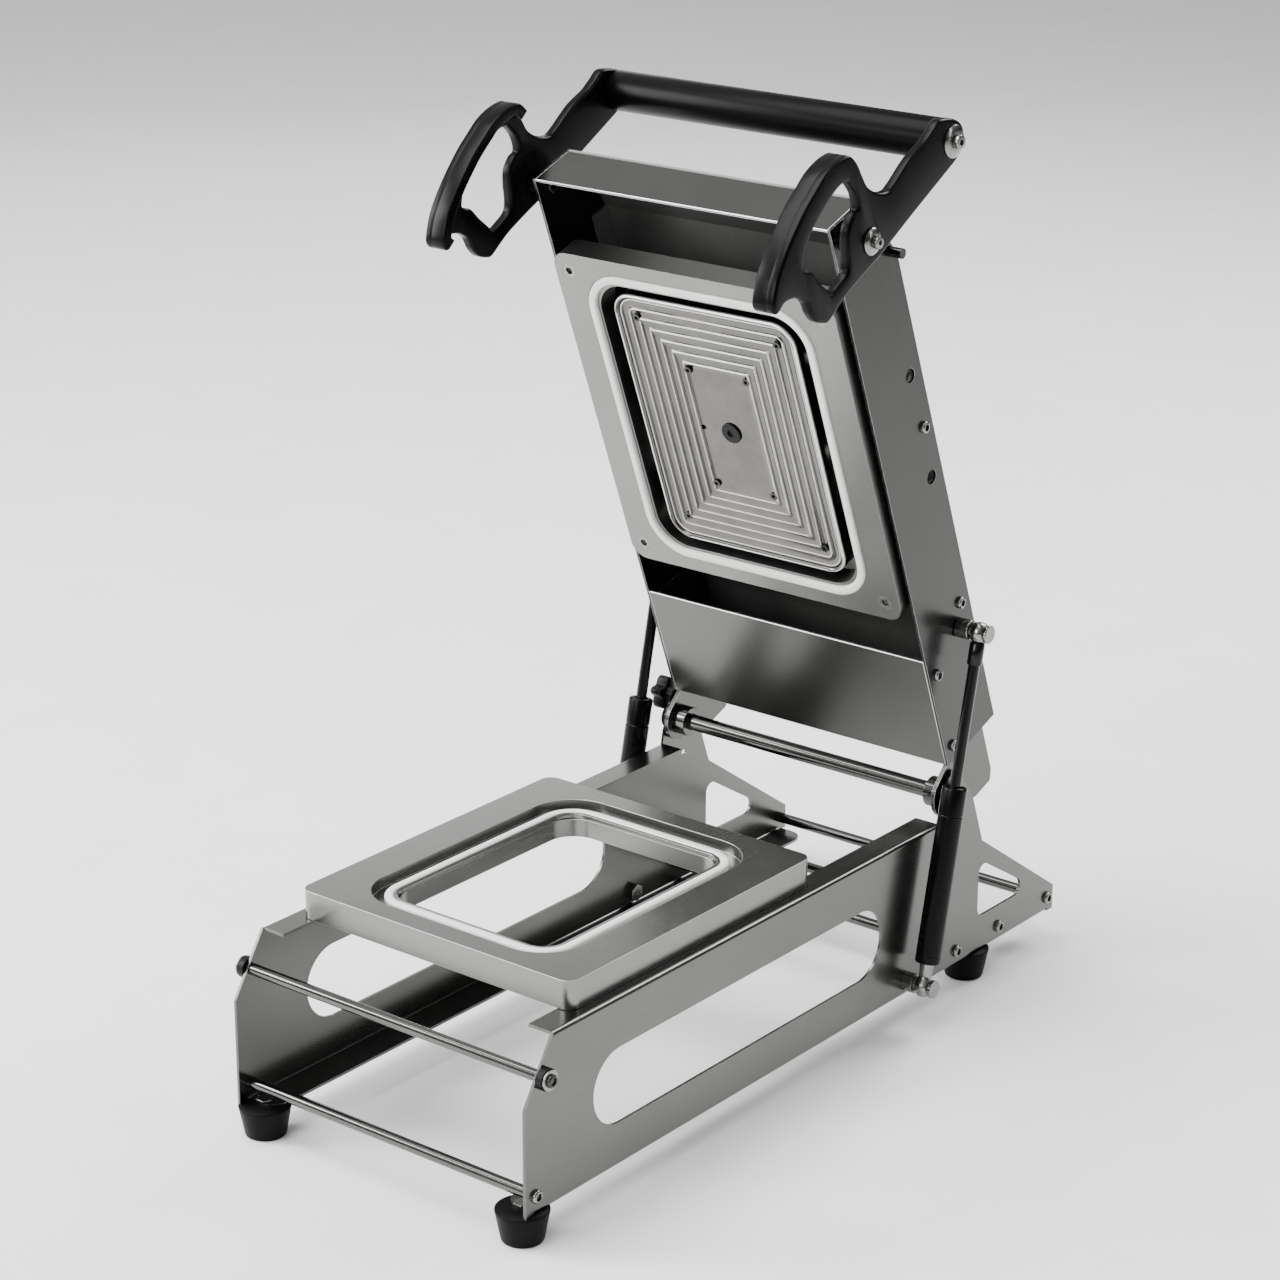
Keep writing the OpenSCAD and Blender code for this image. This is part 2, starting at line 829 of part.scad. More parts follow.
// The die block, with its tray opening, seal wall and film groove.
module tray_die() {
  color("lightgray")
    in_base()
      translate([0, die_y, 0])
        difference() {
          round_slab(die_w, die_len, die_corner_r, die_z, die_top_z);
          round_slab(tray_w, tray_len, tray_r, die_z - eps, die_top_z + eps);
          round_slab(recess_w, recess_len, recess_r, seal_top_z - seal_h,
            die_top_z + eps);
          difference() {
            round_slab(recess_w, recess_len, recess_r,
              die_top_z - groove_depth, die_top_z);
            round_slab(seal_out_w, seal_out_len, tray_r + seal_w / 2,
              die_top_z - groove_depth - eps, die_top_z);
          }
          for (x = [-locate_x, locate_x])
            for (y = [-locate_y, locate_y])
              translate([x, y, die_z - eps])
                cylinder(r = pin_hole_r + run_fit, h = locate_pin_h);
        }
}

module die_seal() {
  color("white")
    in_base()
      translate([0, die_y, 0])
        difference() {
          round_slab(seal_out_w, seal_out_len, tray_r + seal_w / 2,
            seal_top_z - seal_h, seal_top_z);
          round_slab(tray_w, tray_len, tray_r, seal_top_z - seal_h - eps,
            seal_top_z + eps);
        }
}

module die_pins() {
  color("silver")
    in_base()
      for (x = [-locate_x, locate_x])
        for (y = [die_y - locate_y, die_y + locate_y])
          translate([x, y, die_z - locate_drop])
            cylinder(r = pin_hole_r, h = locate_drop + locate_pin_h - eps);
}

module head_plate() {
  difference() {
    sheet_x([[-head_rear_s, head_floor_z], [-head_len, head_floor_z],
      [-head_len, nose_top_z], [-slope_s, head_top_z],
      [-head_rear_s, head_top_z]], head_in, head_out);
    for (p = head_screw_points)
      rod_x(head_screw_r + bore_fit, head_in - eps, head_out + eps, -p[0],
        p[1]);
    for (s = head_hole_ss)
      rod_x(head_hole_r, head_in - eps, head_out + eps, -s, arm_top_z);
    rod_x(handle_bolt_r + bore_fit, head_in - eps, head_out + eps,
      -handle_pivot_s, handle_pivot_up);
    rod_x(head_screw_r + bore_fit, head_in - eps, head_out + eps,
      -stop_pin_s, stop_pin_z);
  }
}

module left_head_plate() {
  color("silver")
    in_head()
      side_of(-1)
        head_plate();
}

module right_head_plate() {
  color("silver")
    in_head()
      head_plate();
}

// The top sheet follows the head profile and has two side flanges.
module top_cover() {
  slope = atan((head_top_z - nose_top_z) / (head_len - slope_s));
  in = head_sheet * tan(slope / 2);
  color("silver")
    in_head()
      difference() {
        union() {
          sheet_x([[-head_rear_s, head_top_z], [-slope_s, head_top_z],
            [-head_len, nose_top_z],
            [-head_len, nose_top_z - head_sheet / cos(slope)],
            [-slope_s + in, head_top_z - head_sheet],
            [-head_rear_s, head_top_z - head_sheet]], -head_in, head_in);
          both_sides()
            box(head_in - head_sheet, head_in, -slope_s,
              -arm_front_s - arm_w, head_top_z - cover_flange_h,
              head_top_z - head_sheet);
        }
        both_sides() {
          for (p = head_screw_points)
            rod_x(head_screw_r + bore_fit, head_in - head_sheet * 2,
              head_in + eps, -p[0], p[1]);
          for (s = head_hole_ss)
            rod_x(head_hole_r, head_in - head_sheet * 2, head_in + eps, -s,
              arm_top_z);
        }
        translate([control_x, -control_s, head_top_z - control_depth])
          cylinder(r = knob_stem_r + run_fit, h = control_depth * 2);
        translate([-control_x, -control_s, 0])
          box(-switch_w / 2, switch_w / 2, -switch_len / 2, switch_len / 2,
            head_top_z - control_depth, head_top_z + control_depth);
      }
}

module end_panel() {
  slope = atan((head_top_z - nose_top_z) / (head_len - slope_s));
  color("silver")
    in_head()
      box(-head_in, head_in, -head_len, -head_len + head_sheet,
        head_floor_z, nose_top_z - head_sheet / cos(slope));
}

// The rear floor and the upright rear wall of the head, in one sheet.
module lower_panel() {
  color("silver")
    in_head()
      difference() {
        union() {
          box(-head_in, head_in, -lower_panel_s, -head_rear_s, head_floor_z,
            head_floor_z + head_sheet);
          box(-arm_in, arm_in, -head_rear_s - head_sheet, -head_rear_s,
            head_floor_z, head_top_z - head_sheet);
        }
        box(inlet_x - inlet_w / 2, inlet_x + inlet_w / 2,
          -head_rear_s - head_sheet - eps, -head_rear_s + eps,
          inlet_z - inlet_h / 2, inlet_z + inlet_h / 2);
      }
}

module hinge_arms() {
  color("silver")
    in_head()
      both_sides()
        difference() {
          union() {
            sheet_x([[-arm_front_s, arm_top_z], [arm_rear_top_y, arm_top_z],
              [arm_rear_y, arm_rear_high_z], [arm_rear_y, arm_rear_low_z],
              [arm_round_r, 0], [-arm_nose_s, -arm_nose_z],
              [-head_rear_s + side_gap, arm_low_z],
              [-arm_front_s, arm_low_z]], arm_in, head_in);
            rod_x(arm_round_r, arm_in, head_in, 0, 0);
          }
          rod_x(shaft_r + run_fit, arm_in - eps, head_in + eps, 0, 0);
          for (p = head_screw_points)
            rod_x(head_screw_r + bore_fit, arm_in - eps, head_in + eps,
              -p[0], p[1]);
        }
}

module hinge_bosses() {
  color("gainsboro")
    in_head()
      both_sides()
        ring_x(boss_r, shaft_r + run_fit, arm_in - boss_w, arm_in, 0, 0);
}

module head_screws() {
  color("gainsboro")
    in_head()
      both_sides()
        for (p = head_screw_points)
          screw_x(head_screw_r, head_sheet + arm_w + head_screw_over,
            head_button_r, head_button_h, head_out, -p[0], p[1]);
}

module stop_pins() {
  color("gainsboro")
    in_head()
      both_sides() {
        rod_x(stop_pin_r, head_out, head_out + stop_pin_len, -stop_pin_s,
          stop_pin_z);
        rod_x(head_screw_r, head_in - head_sheet - eps, head_out + eps,
          -stop_pin_s, stop_pin_z);
        rod_x(stop_pin_r, head_in - head_sheet, head_in, -stop_pin_s,
          stop_pin_z, $fn = 6);
      }
}

module handle_spacers() {
  color("silver")
    in_head()
      both_sides()
        difference() {
          union() {
            rod_x(spacer_r, head_out, handle_in - side_gap,
              -handle_pivot_s, handle_pivot_up);
            rod_x(journal_r, head_out, handle_out + side_gap,
              -handle_pivot_s, handle_pivot_up);
          }
          rod_x(handle_bolt_r + run_fit, head_out - eps,
            handle_out + side_gap + eps, -handle_pivot_s, handle_pivot_up);
        }
}

module handle_pivot_washers() {
  x0 = handle_out + side_gap;
  color("silver")
    in_head()
      both_sides()
        cup_x(handle_washer_r, handle_washer_top_r, handle_bolt_r + run_fit,
          x0, x0 + handle_washer_h, -handle_pivot_s, handle_pivot_up);
}

module handle_pivot_bolts() {
  seat = handle_out + side_gap + handle_washer_h;
  color("gainsboro")
    in_head()
      both_sides() {
        screw_x(handle_bolt_r, seat - head_in + handle_nut_h,
          handle_bolt_head_r, handle_bolt_head_h, seat, -handle_pivot_s,
          handle_pivot_up);
        ring_x(handle_nut_r, handle_bolt_r - eps, head_in - handle_nut_h,
          head_in, -handle_pivot_s, handle_pivot_up, $fn = 6);
      }
}

module in_stack() {
  in_head()
    translate([0, -stack_s, 0])
      children();
}

// The heating plate, sunk inside its rim and milled with steps.
module heating_plate() {
  color("gainsboro")
    in_stack()
      difference() {
        round_slab(heater_w, heater_len, heater_r, heater_face_z,
          heater_face_z + heater_h);
        round_slab(heater_w - heater_rim_w * 2,
          heater_len - heater_rim_w * 2, heater_r - heater_rim_w,
          heater_face_z - eps, heater_face_z + heater_rim_h);
        for (i = [1 : step_count])
          step_groove(heater_rim_w + i * step_w - step_gap_w);
        at_heater_screws()
          heater_bore(heater_screw_r, heater_screw_head_r);
        heater_bore(middle_screw_r, middle_screw_head_r);
        translate([-sensor_hole_x, 0, heater_face_z])
          cylinder(r = sensor_hole_r, h = heater_h / 2);
      }
}

module step_groove(inset) {
  r = max(heater_r - inset, step_corner_r);
  difference() {
    round_slab(heater_w - inset * 2, heater_len - inset * 2, r,
      heater_face_z, heater_face_z + heater_rim_h + step_depth);
    round_slab(heater_w - (inset + step_gap_w) * 2,
      heater_len - (inset + step_gap_w) * 2, step_corner_r,
      heater_face_z - eps, heater_face_z + heater_rim_h + step_depth
      + eps);
  }
}

module at_heater_screws() {
  for (i = [0, 1])
    for (x = [-heater_screw_xs[i], heater_screw_xs[i]])
      for (y = [-heater_screw_ys[i], heater_screw_ys[i]])
        translate([x, y, 0])
          children();
}

module heater_bore(r, head_r) {
  translate([0, 0, heater_face_z])
    cylinder(r = head_r + bore_fit, h = heater_rim_h + heater_screw_head_h);
  translate([0, 0, heater_face_z])
    cylinder(r = r + bore_fit, h = heater_h + eps);
}

module heater_screw(r, head_r, socket_r) {
  z0 = heater_face_z + heater_rim_h;
  difference() {
    union() {
      translate([0, 0, z0])
        cylinder(r = head_r, h = heater_screw_head_h);
      translate([0, 0, z0 + heater_screw_head_h - eps])
        cylinder(r = r, h = heater_h - heater_screw_head_h - heater_rim_h
          + eps);
    }
    translate([0, 0, z0 - eps])
      cylinder(r = socket_r, h = screw_socket_h, $fn = 6);
  }
}

module heater_screws() {
  color("gray")
    in_stack()
      at_heater_screws()
        heater_screw(heater_screw_r, heater_screw_head_r,
          screw_socket_r);
}

module heater_middle_screw() {
  color("dimgray")
    in_stack()
      heater_screw(middle_screw_r, middle_screw_head_r,
        screw_socket_r * 2);
}

module heater_insulation() {
  color("dimgray")
    in_stack()
      round_slab(heater_w - insulation_inset * 2,
        heater_len - insulation_inset * 2, heater_r - insulation_inset,
        heater_face_z + heater_h, cross_z);
}

module at_guides() {
  for (x = [-guide_x, guide_x])
    for (y = [-guide_s, guide_s])
      translate([x, y, 0])
        children();
}

// Two channels across the head carry the heater and the clamp guides.
module cross_members() {
  color("silver")
    in_stack()
      difference() {
        for (y = [-cross_s, cross_s]) {
          box(-head_in, head_in, y - cross_w / 2, y + cross_w / 2, cross_z,
            cross_z + cross_h);
          both_sides()
            box(head_in - cross_h, head_in, y - cross_w / 2,
              y + cross_w / 2, cross_z + cross_h - eps,
              cross_z + cross_wall_h);
        }
        at_guides()
          translate([0, 0, cross_z - eps])
            cylinder(r = guide_r + bore_fit * 2, h = cross_h + eps * 2);
      }
}

module spring_housings() {
  z0 = cross_z + cross_h;
  color("gray")
    in_stack()
      at_guides()
        difference() {
          translate([0, 0, z0])
            cylinder(r = guide_boss_r, h = guide_len);
          translate([0, 0, z0 - eps])
            cylinder(r = guide_r + run_fit, h = guide_neck_h * 2);
          translate([0, 0, z0 + guide_neck_h])
            cylinder(r = guide_boss_r - guide_wall, h = guide_len
              - guide_neck_h - guide_wall);
        }
}

// The clamp plate has chamfered corners and an opening for the heater.
module clamp_plate() {
  z0 = -clamp_face_z;
  color("lightgray")
    in_stack()
      difference() {
        round_slab(clamp_w, clamp_len, clamp_corner_r, z0, z0 + clamp_h);
        round_slab(clamp_open_w, clamp_open_len, ring_open_r, z0 - eps,
          z0 + clamp_h + eps);
        round_slab(ring_w + bore_fit * 2, ring_len + bore_fit * 2,
          ring_r + bore_fit, z0 - eps, z0 + ring_bed);
        at_clamp_screws() {
          translate([0, 0, z0 - eps])
            cylinder(r = clamp_screw_head_r + bore_fit,
              h = clamp_screw_head_h + eps);
          translate([0, 0, z0])
            cylinder(r = clamp_screw_r + bore_fit, h = clamp_screw_len);
        }
        at_guides()
          translate([0, 0, z0 + clamp_h / 2])
            cylinder(r = guide_r + run_fit, h = clamp_h);
      }
}

module at_clamp_screws() {
  for (x = [-clamp_screw_x, clamp_screw_x])
    for (y = [-clamp_screw_s, clamp_screw_s])
      translate([x, y, 0])
        children();
}

module clamp_ring() {
  z0 = -clamp_face_z;
  color("white")
    in_stack()
      difference() {
        round_slab(ring_w, ring_len, ring_r, z0 - ring_proud,
          z0 + ring_bed);
        round_slab(clamp_open_w, clamp_open_len, ring_open_r,
          z0 - ring_proud - eps, z0 + ring_bed + eps);
      }
}

module clamp_screws() {
  z0 = -clamp_face_z;
  color("gainsboro")
    in_stack()
      at_clamp_screws()
        difference() {
          union() {
            translate([0, 0, z0])
              cylinder(r = clamp_screw_head_r, h = clamp_screw_head_h);
            translate([0, 0, z0 + clamp_screw_head_h - eps])
              cylinder(r = clamp_screw_r, h = clamp_screw_len
                - clamp_screw_head_h);
          }
          translate([0, 0, z0 - eps])
            cylinder(r = screw_socket_r * 2, h = screw_socket_h * 2,
              $fn = 6);
        }
}

module clamp_pins() {
  z0 = -clamp_face_z + clamp_h / 2;
  color("silver")
    in_stack()
      at_guides()
        translate([0, 0, z0])
          cylinder(r = guide_r, h = clamp_h / 2 + guide_len);
}

module handle_shape(shares) {
  translate([-handle_pivot_s, handle_pivot_up])
    scale([-1, -1])
      polygon(smooth(shares * handle_reach, curve_steps));
}

// The hook rim is the outer band of the outline, cut to the hook.
module rim_shape() {
  intersection() {
    difference() {
      handle_shape(handle_shares);
      offset(delta = -rim_h)
        handle_shape(handle_shares);
    }
    translate([-handle_pivot_s, handle_pivot_up])
      scale([-1, -1])
        polygon(rim_mask_shares * handle_reach);
  }
}

// A moulded latch handle: lever, hook with its rim, and finger opening.
module latch_handle() {
  difference() {
    union() {
      translate([handle_in, 0, 0])
        rotate([90, 0, 90])
          linear_extrude(handle_plate_w)
            difference() {
              handle_shape(handle_shares);
              handle_shape(opening_shares);
            }
      translate([rim_in, 0, 0])
        rotate([90, 0, 90])
          linear_extrude(handle_in - rim_in + eps)
            rim_shape();
    }
    rod_x(journal_r + run_fit, handle_in - eps, handle_out + eps,
      -handle_pivot_s, handle_pivot_up);
    rod_x(grip_bolt_r + bore_fit, handle_in - eps, handle_out + eps,
      -handle_pivot_s - grip_a, handle_pivot_up + grip_b);
  }
}

module left_handle() {
  color("dimgray")
    in_head()
      side_of(-1)
        latch_handle();
}

module right_handle() {
  color("dimgray")
    in_head()
      latch_handle();
}

module handle_grip() {
  y = -handle_pivot_s - grip_a;
  z = handle_pivot_up + grip_b;
  color("dimgray")
    in_head()
      difference() {
        rod_x(grip_r, -handle_in, handle_in, y, z);
        both_sides()
          rod_x(grip_bolt_r + run_fit, handle_in - grip_bolt_len,
            handle_out, y, z);
      }
}

module grip_washers() {
  color("silver")
    in_head()
      both_sides()
        cup_x(grip_washer_r, grip_washer_top_r, grip_bolt_r + run_fit,
          handle_out, handle_out + handle_washer_h,
          -handle_pivot_s - grip_a, handle_pivot_up + grip_b);
}

module grip_bolts() {
  color("gainsboro")
    in_head()
      both_sides()
        screw_x(grip_bolt_r, grip_bolt_len + handle_washer_h,
          grip_bolt_head_r, handle_bolt_head_h,
          handle_out + handle_washer_h, -handle_pivot_s - grip_a,
          handle_pivot_up + grip_b);
}

// The cylinder stands on its low eye and is bored for rod and piston.
module gas_cylinder() {
  top = gas_low_len + gas_body_len;
  difference() {
    union() {
      rod_x(gas_eye_r, -gas_eye_w / 2, gas_eye_w / 2, 0, 0);
      cylinder(r = gas_fitting_r, h = gas_low_len + eps);
      translate([0, 0, gas_low_len])
        cylinder(r = gas_r, h = gas_body_len);
    }
    rod_x(gas_stud_r + run_fit, -gas_eye_w, gas_eye_w, 0, 0);
    translate([0, 0, gas_low_len + gas_neck_h])
      cylinder(r = gas_r - gas_wall, h = gas_body_len - gas_neck_h * 2);
    translate([0, 0, top - gas_neck_h * 2])
      cylinder(r = gas_rod_r + run_fit, h = gas_neck_h * 3);
    translate([0, 0, top - gas_groove_pos])
      difference() {
        cylinder(r = gas_r * 2, h = gas_groove_h);
        translate([0, 0, -eps])
          cylinder(r = gas_r - gas_groove_d, h = gas_groove_h + eps * 2);
      }
  }
}

module left_gas_cylinder() {
  color("dimgray")
    in_gas(-1)
      gas_cylinder();
}

module right_gas_cylinder() {
  color("dimgray")
    in_gas(1)
      gas_cylinder();
}

module gas_rod() {
  difference() {
    union() {
      translate([0, 0, gas_rod_in])
        cylinder(r = gas_r - gas_wall - run_fit, h = gas_piston_h);
      translate([0, 0, gas_rod_in])
        cylinder(r = gas_rod_r, h = gas_len - gas_rod_in);
      translate([0, 0, gas_len - gas_fitting_len])
        cylinder(r = gas_fitting_r, h = gas_fitting_len);
      rod_x(gas_eye_r, -gas_eye_w / 2, gas_eye_w / 2, 0, gas_len);
    }
    rod_x(gas_stud_r + run_fit, -gas_eye_w, gas_eye_w, 0, gas_len);
  }
}

module left_gas_rod() {
  color("dimgray")
    in_gas(-1)
      gas_rod();
}

module right_gas_rod() {
  color("dimgray")
    in_gas(1)
      gas_rod();
}

// The top stud reaches from the head plate through the rod eye.
module gas_stud() {
  low = head_out + side_gap - gas_x;
  tip = gas_eye_w / 2;
  rod_x(gas_stud_collar_r, low, -tip, 0, gas_len);
  rod_x(gas_stud_r, low, tip + eps, 0, gas_len);
  rod_x(gas_stud_head_r, tip, tip + gas_stud_head_h, 0, gas_len);
}

module left_gas_stud() {
  color("gainsboro")
    in_gas(-1)
      side_of(-1)
        gas_stud();
}

module right_gas_stud() {
  color("gainsboro")
    in_gas(1)
      gas_stud();
}

module thermostat_body() {
  color("gray")
    in_head()
      translate([control_x, -control_s,
        head_top_z - head_sheet - control_depth])
        difference() {
          cylinder(r = thermostat_r, h = control_depth);
          translate([0, 0, control_depth / 2])
            cylinder(r = knob_stem_r + run_fit, h = control_depth);
        }
}

module heat_knob() {
  color("dimgray")
    in_head()
      translate([control_x, -control_s, head_top_z]) {
        translate([0, 0, side_gap])
          cylinder(r = knob_r, h = knob_skirt_h);
        translate([0, 0, side_gap + knob_skirt_h - eps])
          cylinder(r1 = knob_waist_r, r2 = knob_waist_r - bend_r,
            h = knob_h - knob_skirt_h);
        translate([0, 0, -control_depth / 2])
          cylinder(r = knob_stem_r, h = control_depth / 2 + knob_skirt_h);
      }
}

module switch_housing() {
  color("dimgray")
    in_head()
      translate([-control_x, -control_s, head_top_z])
        difference() {
          union() {
            box(-switch_w / 2, switch_w / 2, -switch_len / 2,
              switch_len / 2, -control_depth, eps);
            box(-switch_w / 2 - switch_lip, switch_w / 2 + switch_lip,
              -switch_len / 2 - switch_lip, switch_len / 2 + switch_lip, 0,
              switch_lip_h);
          }
          box(-switch_w / 2 + switch_lip, switch_w / 2 - switch_lip,
            -switch_len / 2 + switch_lip, switch_len / 2 - switch_lip,
            switch_lip - control_depth, control_depth);
          rod_x(rocker_pin_r + run_fit, -switch_w / 2 + switch_lip / 2,
            switch_w / 2 - switch_lip / 2, 0, -rocker_pin_z);
        }
}

// The rocker turns on its pin, tipped one way at rest.
module power_rocker() {
  w = switch_w / 2 - switch_lip - rocker_gap;
  l = switch_len / 2 - switch_lip - rocker_gap * 4;
  color("red")
    in_head()
      translate([-control_x, -control_s, head_top_z - rocker_pin_z])
        rotate([-rocker_tilt, 0, 0]) {
          box(-w, w, -l, l, -rocker_depth / 2, rocker_rise);
          rod_x(rocker_pin_r, -w - rocker_gap - switch_lip / 4,
            w + rocker_gap + switch_lip / 4, 0, 0);
        }
}

module power_inlet() {
  y0 = -head_rear_s;
  color("dimgray")
    in_head()
      translate([inlet_x, 0, inlet_z]) {
        difference() {
          union() {
            box(-inlet_w / 2, inlet_w / 2, y0 - inlet_depth, y0 + eps,
              -inlet_h / 2, inlet_h / 2);
            box(-inlet_w / 2 - inlet_flange, inlet_w / 2 + inlet_flange,
              y0, y0 + inlet_wall, -inlet_h / 2 - inlet_wall,
              inlet_h / 2 + inlet_wall);
          }
          box(-inlet_w / 2 + inlet_wall, inlet_w / 2 - inlet_wall,
            y0 - inlet_depth + inlet_wall, y0 + inlet_depth,
            -inlet_h / 2 + inlet_wall, inlet_h / 2 - inlet_wall);
        }
        for (x = [-inlet_pin_pitch, 0, inlet_pin_pitch])
          box(x - inlet_pin_w / 2, x + inlet_pin_w / 2,
            y0 - inlet_depth + inlet_wall - eps, y0 - inlet_wall,
            -inlet_pin_h / 2, inlet_pin_h / 2);
      }
}

left_side_plate();
right_side_plate();
front_top_bar();
front_bottom_bar();
rear_bars();
tie_bar_screws();
rubber_feet();
foot_screws();
hinge_shaft();
shaft_caps();
lower_gas_studs();
hinge_block();
roller_bushes();
roller_washers();
roller_screws();
left_roller();
right_roller();
tray_die();
die_seal();
die_pins();
left_head_plate();
right_head_plate();
top_cover();
end_panel();
lower_panel();
hinge_arms();
hinge_bosses();
head_screws();
stop_pins();
handle_spacers();
handle_pivot_washers();
handle_pivot_bolts();
heating_plate();
heater_screws();
heater_middle_screw();
heater_insulation();
cross_members();
spring_housings();
clamp_plate();
clamp_ring();
clamp_screws();
clamp_pins();
left_handle();
right_handle();
handle_grip();
grip_washers();
grip_bolts();
left_gas_cylinder();
right_gas_cylinder();
left_gas_rod();
right_gas_rod();
left_gas_stud();
right_gas_stud();
thermostat_body();
heat_knob();
switch_housing();
power_rocker();
power_inlet();
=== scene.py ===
import json
import math

import bmesh
import bpy
import numpy as np
from mathutils import Matrix, Vector


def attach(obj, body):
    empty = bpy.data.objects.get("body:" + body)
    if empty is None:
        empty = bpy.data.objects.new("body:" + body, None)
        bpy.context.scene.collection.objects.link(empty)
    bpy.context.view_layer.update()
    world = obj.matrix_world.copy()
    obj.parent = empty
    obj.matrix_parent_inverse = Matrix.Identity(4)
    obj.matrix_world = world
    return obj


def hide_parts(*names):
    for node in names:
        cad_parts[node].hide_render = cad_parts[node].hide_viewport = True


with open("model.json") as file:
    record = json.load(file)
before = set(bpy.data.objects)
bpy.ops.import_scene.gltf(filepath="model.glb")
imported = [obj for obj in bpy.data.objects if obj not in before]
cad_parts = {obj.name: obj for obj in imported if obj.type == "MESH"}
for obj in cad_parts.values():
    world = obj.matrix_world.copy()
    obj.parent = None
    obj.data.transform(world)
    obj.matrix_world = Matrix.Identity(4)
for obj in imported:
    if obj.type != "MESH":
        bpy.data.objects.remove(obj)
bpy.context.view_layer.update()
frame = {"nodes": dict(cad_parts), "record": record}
record = frame["record"]
bodyOf = {node: body for body, nodes in record["behaviour"]["bodies"].items() for node in nodes}
mm = 0.001
headAngle = math.radians(69)  # the open head leans this far over its shut position
baseSpace = Matrix.Translation((0, -301.25, 22))  # mm from the front edge and the rails' underside
pivot = Vector((0, 466, 135.5))  # hinge axis, in base space
headSpace = baseSpace @ Matrix.Translation(pivot) @ Matrix.Rotation(-headAngle, 4, "X")
stackSpace = headSpace @ Matrix.Translation((0, -283, 0))  # middle of the clamp and heater
print("frame loaded:", len(frame["nodes"]), "nodes")


# sRGB hex text to linear red, green, blue and alpha
def linear(hexText):
    values = [int(hexText[i : i + 2], 16) / 255 for i in (0, 2, 4)]
    return [v / 12.92 if v <= 0.04045 else ((v + 0.055) / 1.055) ** 2.4 for v in values] + [1]


def addNode(tree, kind, values=None, links=None, **settings):
    node = tree.nodes.new(kind)
    for key, value in settings.items():
        setattr(node, key, value)
    for key, value in (values or {}).items():
        node.inputs[key].default_value = value
    for key, socket in (links or {}).items():
        tree.links.new(socket, node.inputs[key])
    return node


# object coordinates turned back by tilt about X, then divided by the grain's length along each axis
def grainVector(tree, tilt, lengthsMm):
    coords = addNode(tree, "ShaderNodeTexCoord")
    rotation = {"Rotation": (tilt, 0, 0)}
    turned = addNode(tree, "ShaderNodeMapping", rotation, {"Vector": coords.outputs["Object"]})
    scale = {"Scale": tuple(1 / (length * mm) for length in lengthsMm)}
    scaled = addNode(tree, "ShaderNodeMapping", scale, {"Vector": turned.outputs["Vector"]})
    return scaled.outputs["Vector"]


noiseSpan = (0.35, 0.65)  # noise values that reach a material's dark and light ends


# fine grain and slow clouds are mixed by cloudShare; the mix picks colour and roughness, and the
# grain alone lifts the bump
def makeMaterial(name, look):
    material = bpy.data.materials.new(name)
    material.use_nodes = True
    tree = material.node_tree
    shader = tree.nodes["Principled BSDF"]
    shader.inputs["Metallic"].default_value = look.get("metallic", 0)
    for key, value in look.get("shader", {}).items():
        shader.inputs[key].default_value = value
    grain = addNode(
        tree,
        "ShaderNodeTexNoise",
        {"Scale": 1.0, "Detail": 3.0, "Roughness": 0.6},
        {"Vector": grainVector(tree, look.get("tilt", 0), look["grainMm"])},
    )
    cloud = addNode(
        tree,
        "ShaderNodeTexNoise",
        {"Scale": 1.0, "Detail": 2.0},
        {"Vector": grainVector(tree, 0, [look.get("cloudMm", 70)] * 3)},
    )
    both = addNode(
        tree,
        "ShaderNodeMix",
        {"Factor": look.get("cloudShare", 0.5)},
        {"A": grain.outputs["Fac"], "B": cloud.outputs["Fac"]},
        data_type="FLOAT",
    )
    colour = addNode(tree, "ShaderNodeValToRGB", links={"Fac": both.outputs["Result"]})
    for element, position, end in zip(colour.color_ramp.elements, noiseSpan, ("dark", "light")):
        element.position = position
        element.color = linear(look[end])
    low, high = look["roughness"]
    rough = addNode(
        tree,
        "ShaderNodeMapRange",
        {"From Min": noiseSpan[0], "From Max": noiseSpan[1], "To Min": low, "To Max": high},
        {"Value": both.outputs["Result"]},
    )
    bump = addNode(
        tree,
        "ShaderNodeBump",
        {"Strength": look.get("bump", 0.2), "Distance": look.get("bumpMm", 0.05) * mm},
        {"Height": grain.outputs["Fac"]},
    )
    tree.links.new(colour.outputs["Color"], shader.inputs["Base Color"])
    tree.links.new(rough.outputs["Result"], shader.inputs["Roughness"])
    tree.links.new(bump.outputs["Normal"], shader.inputs["Normal"])
    return material


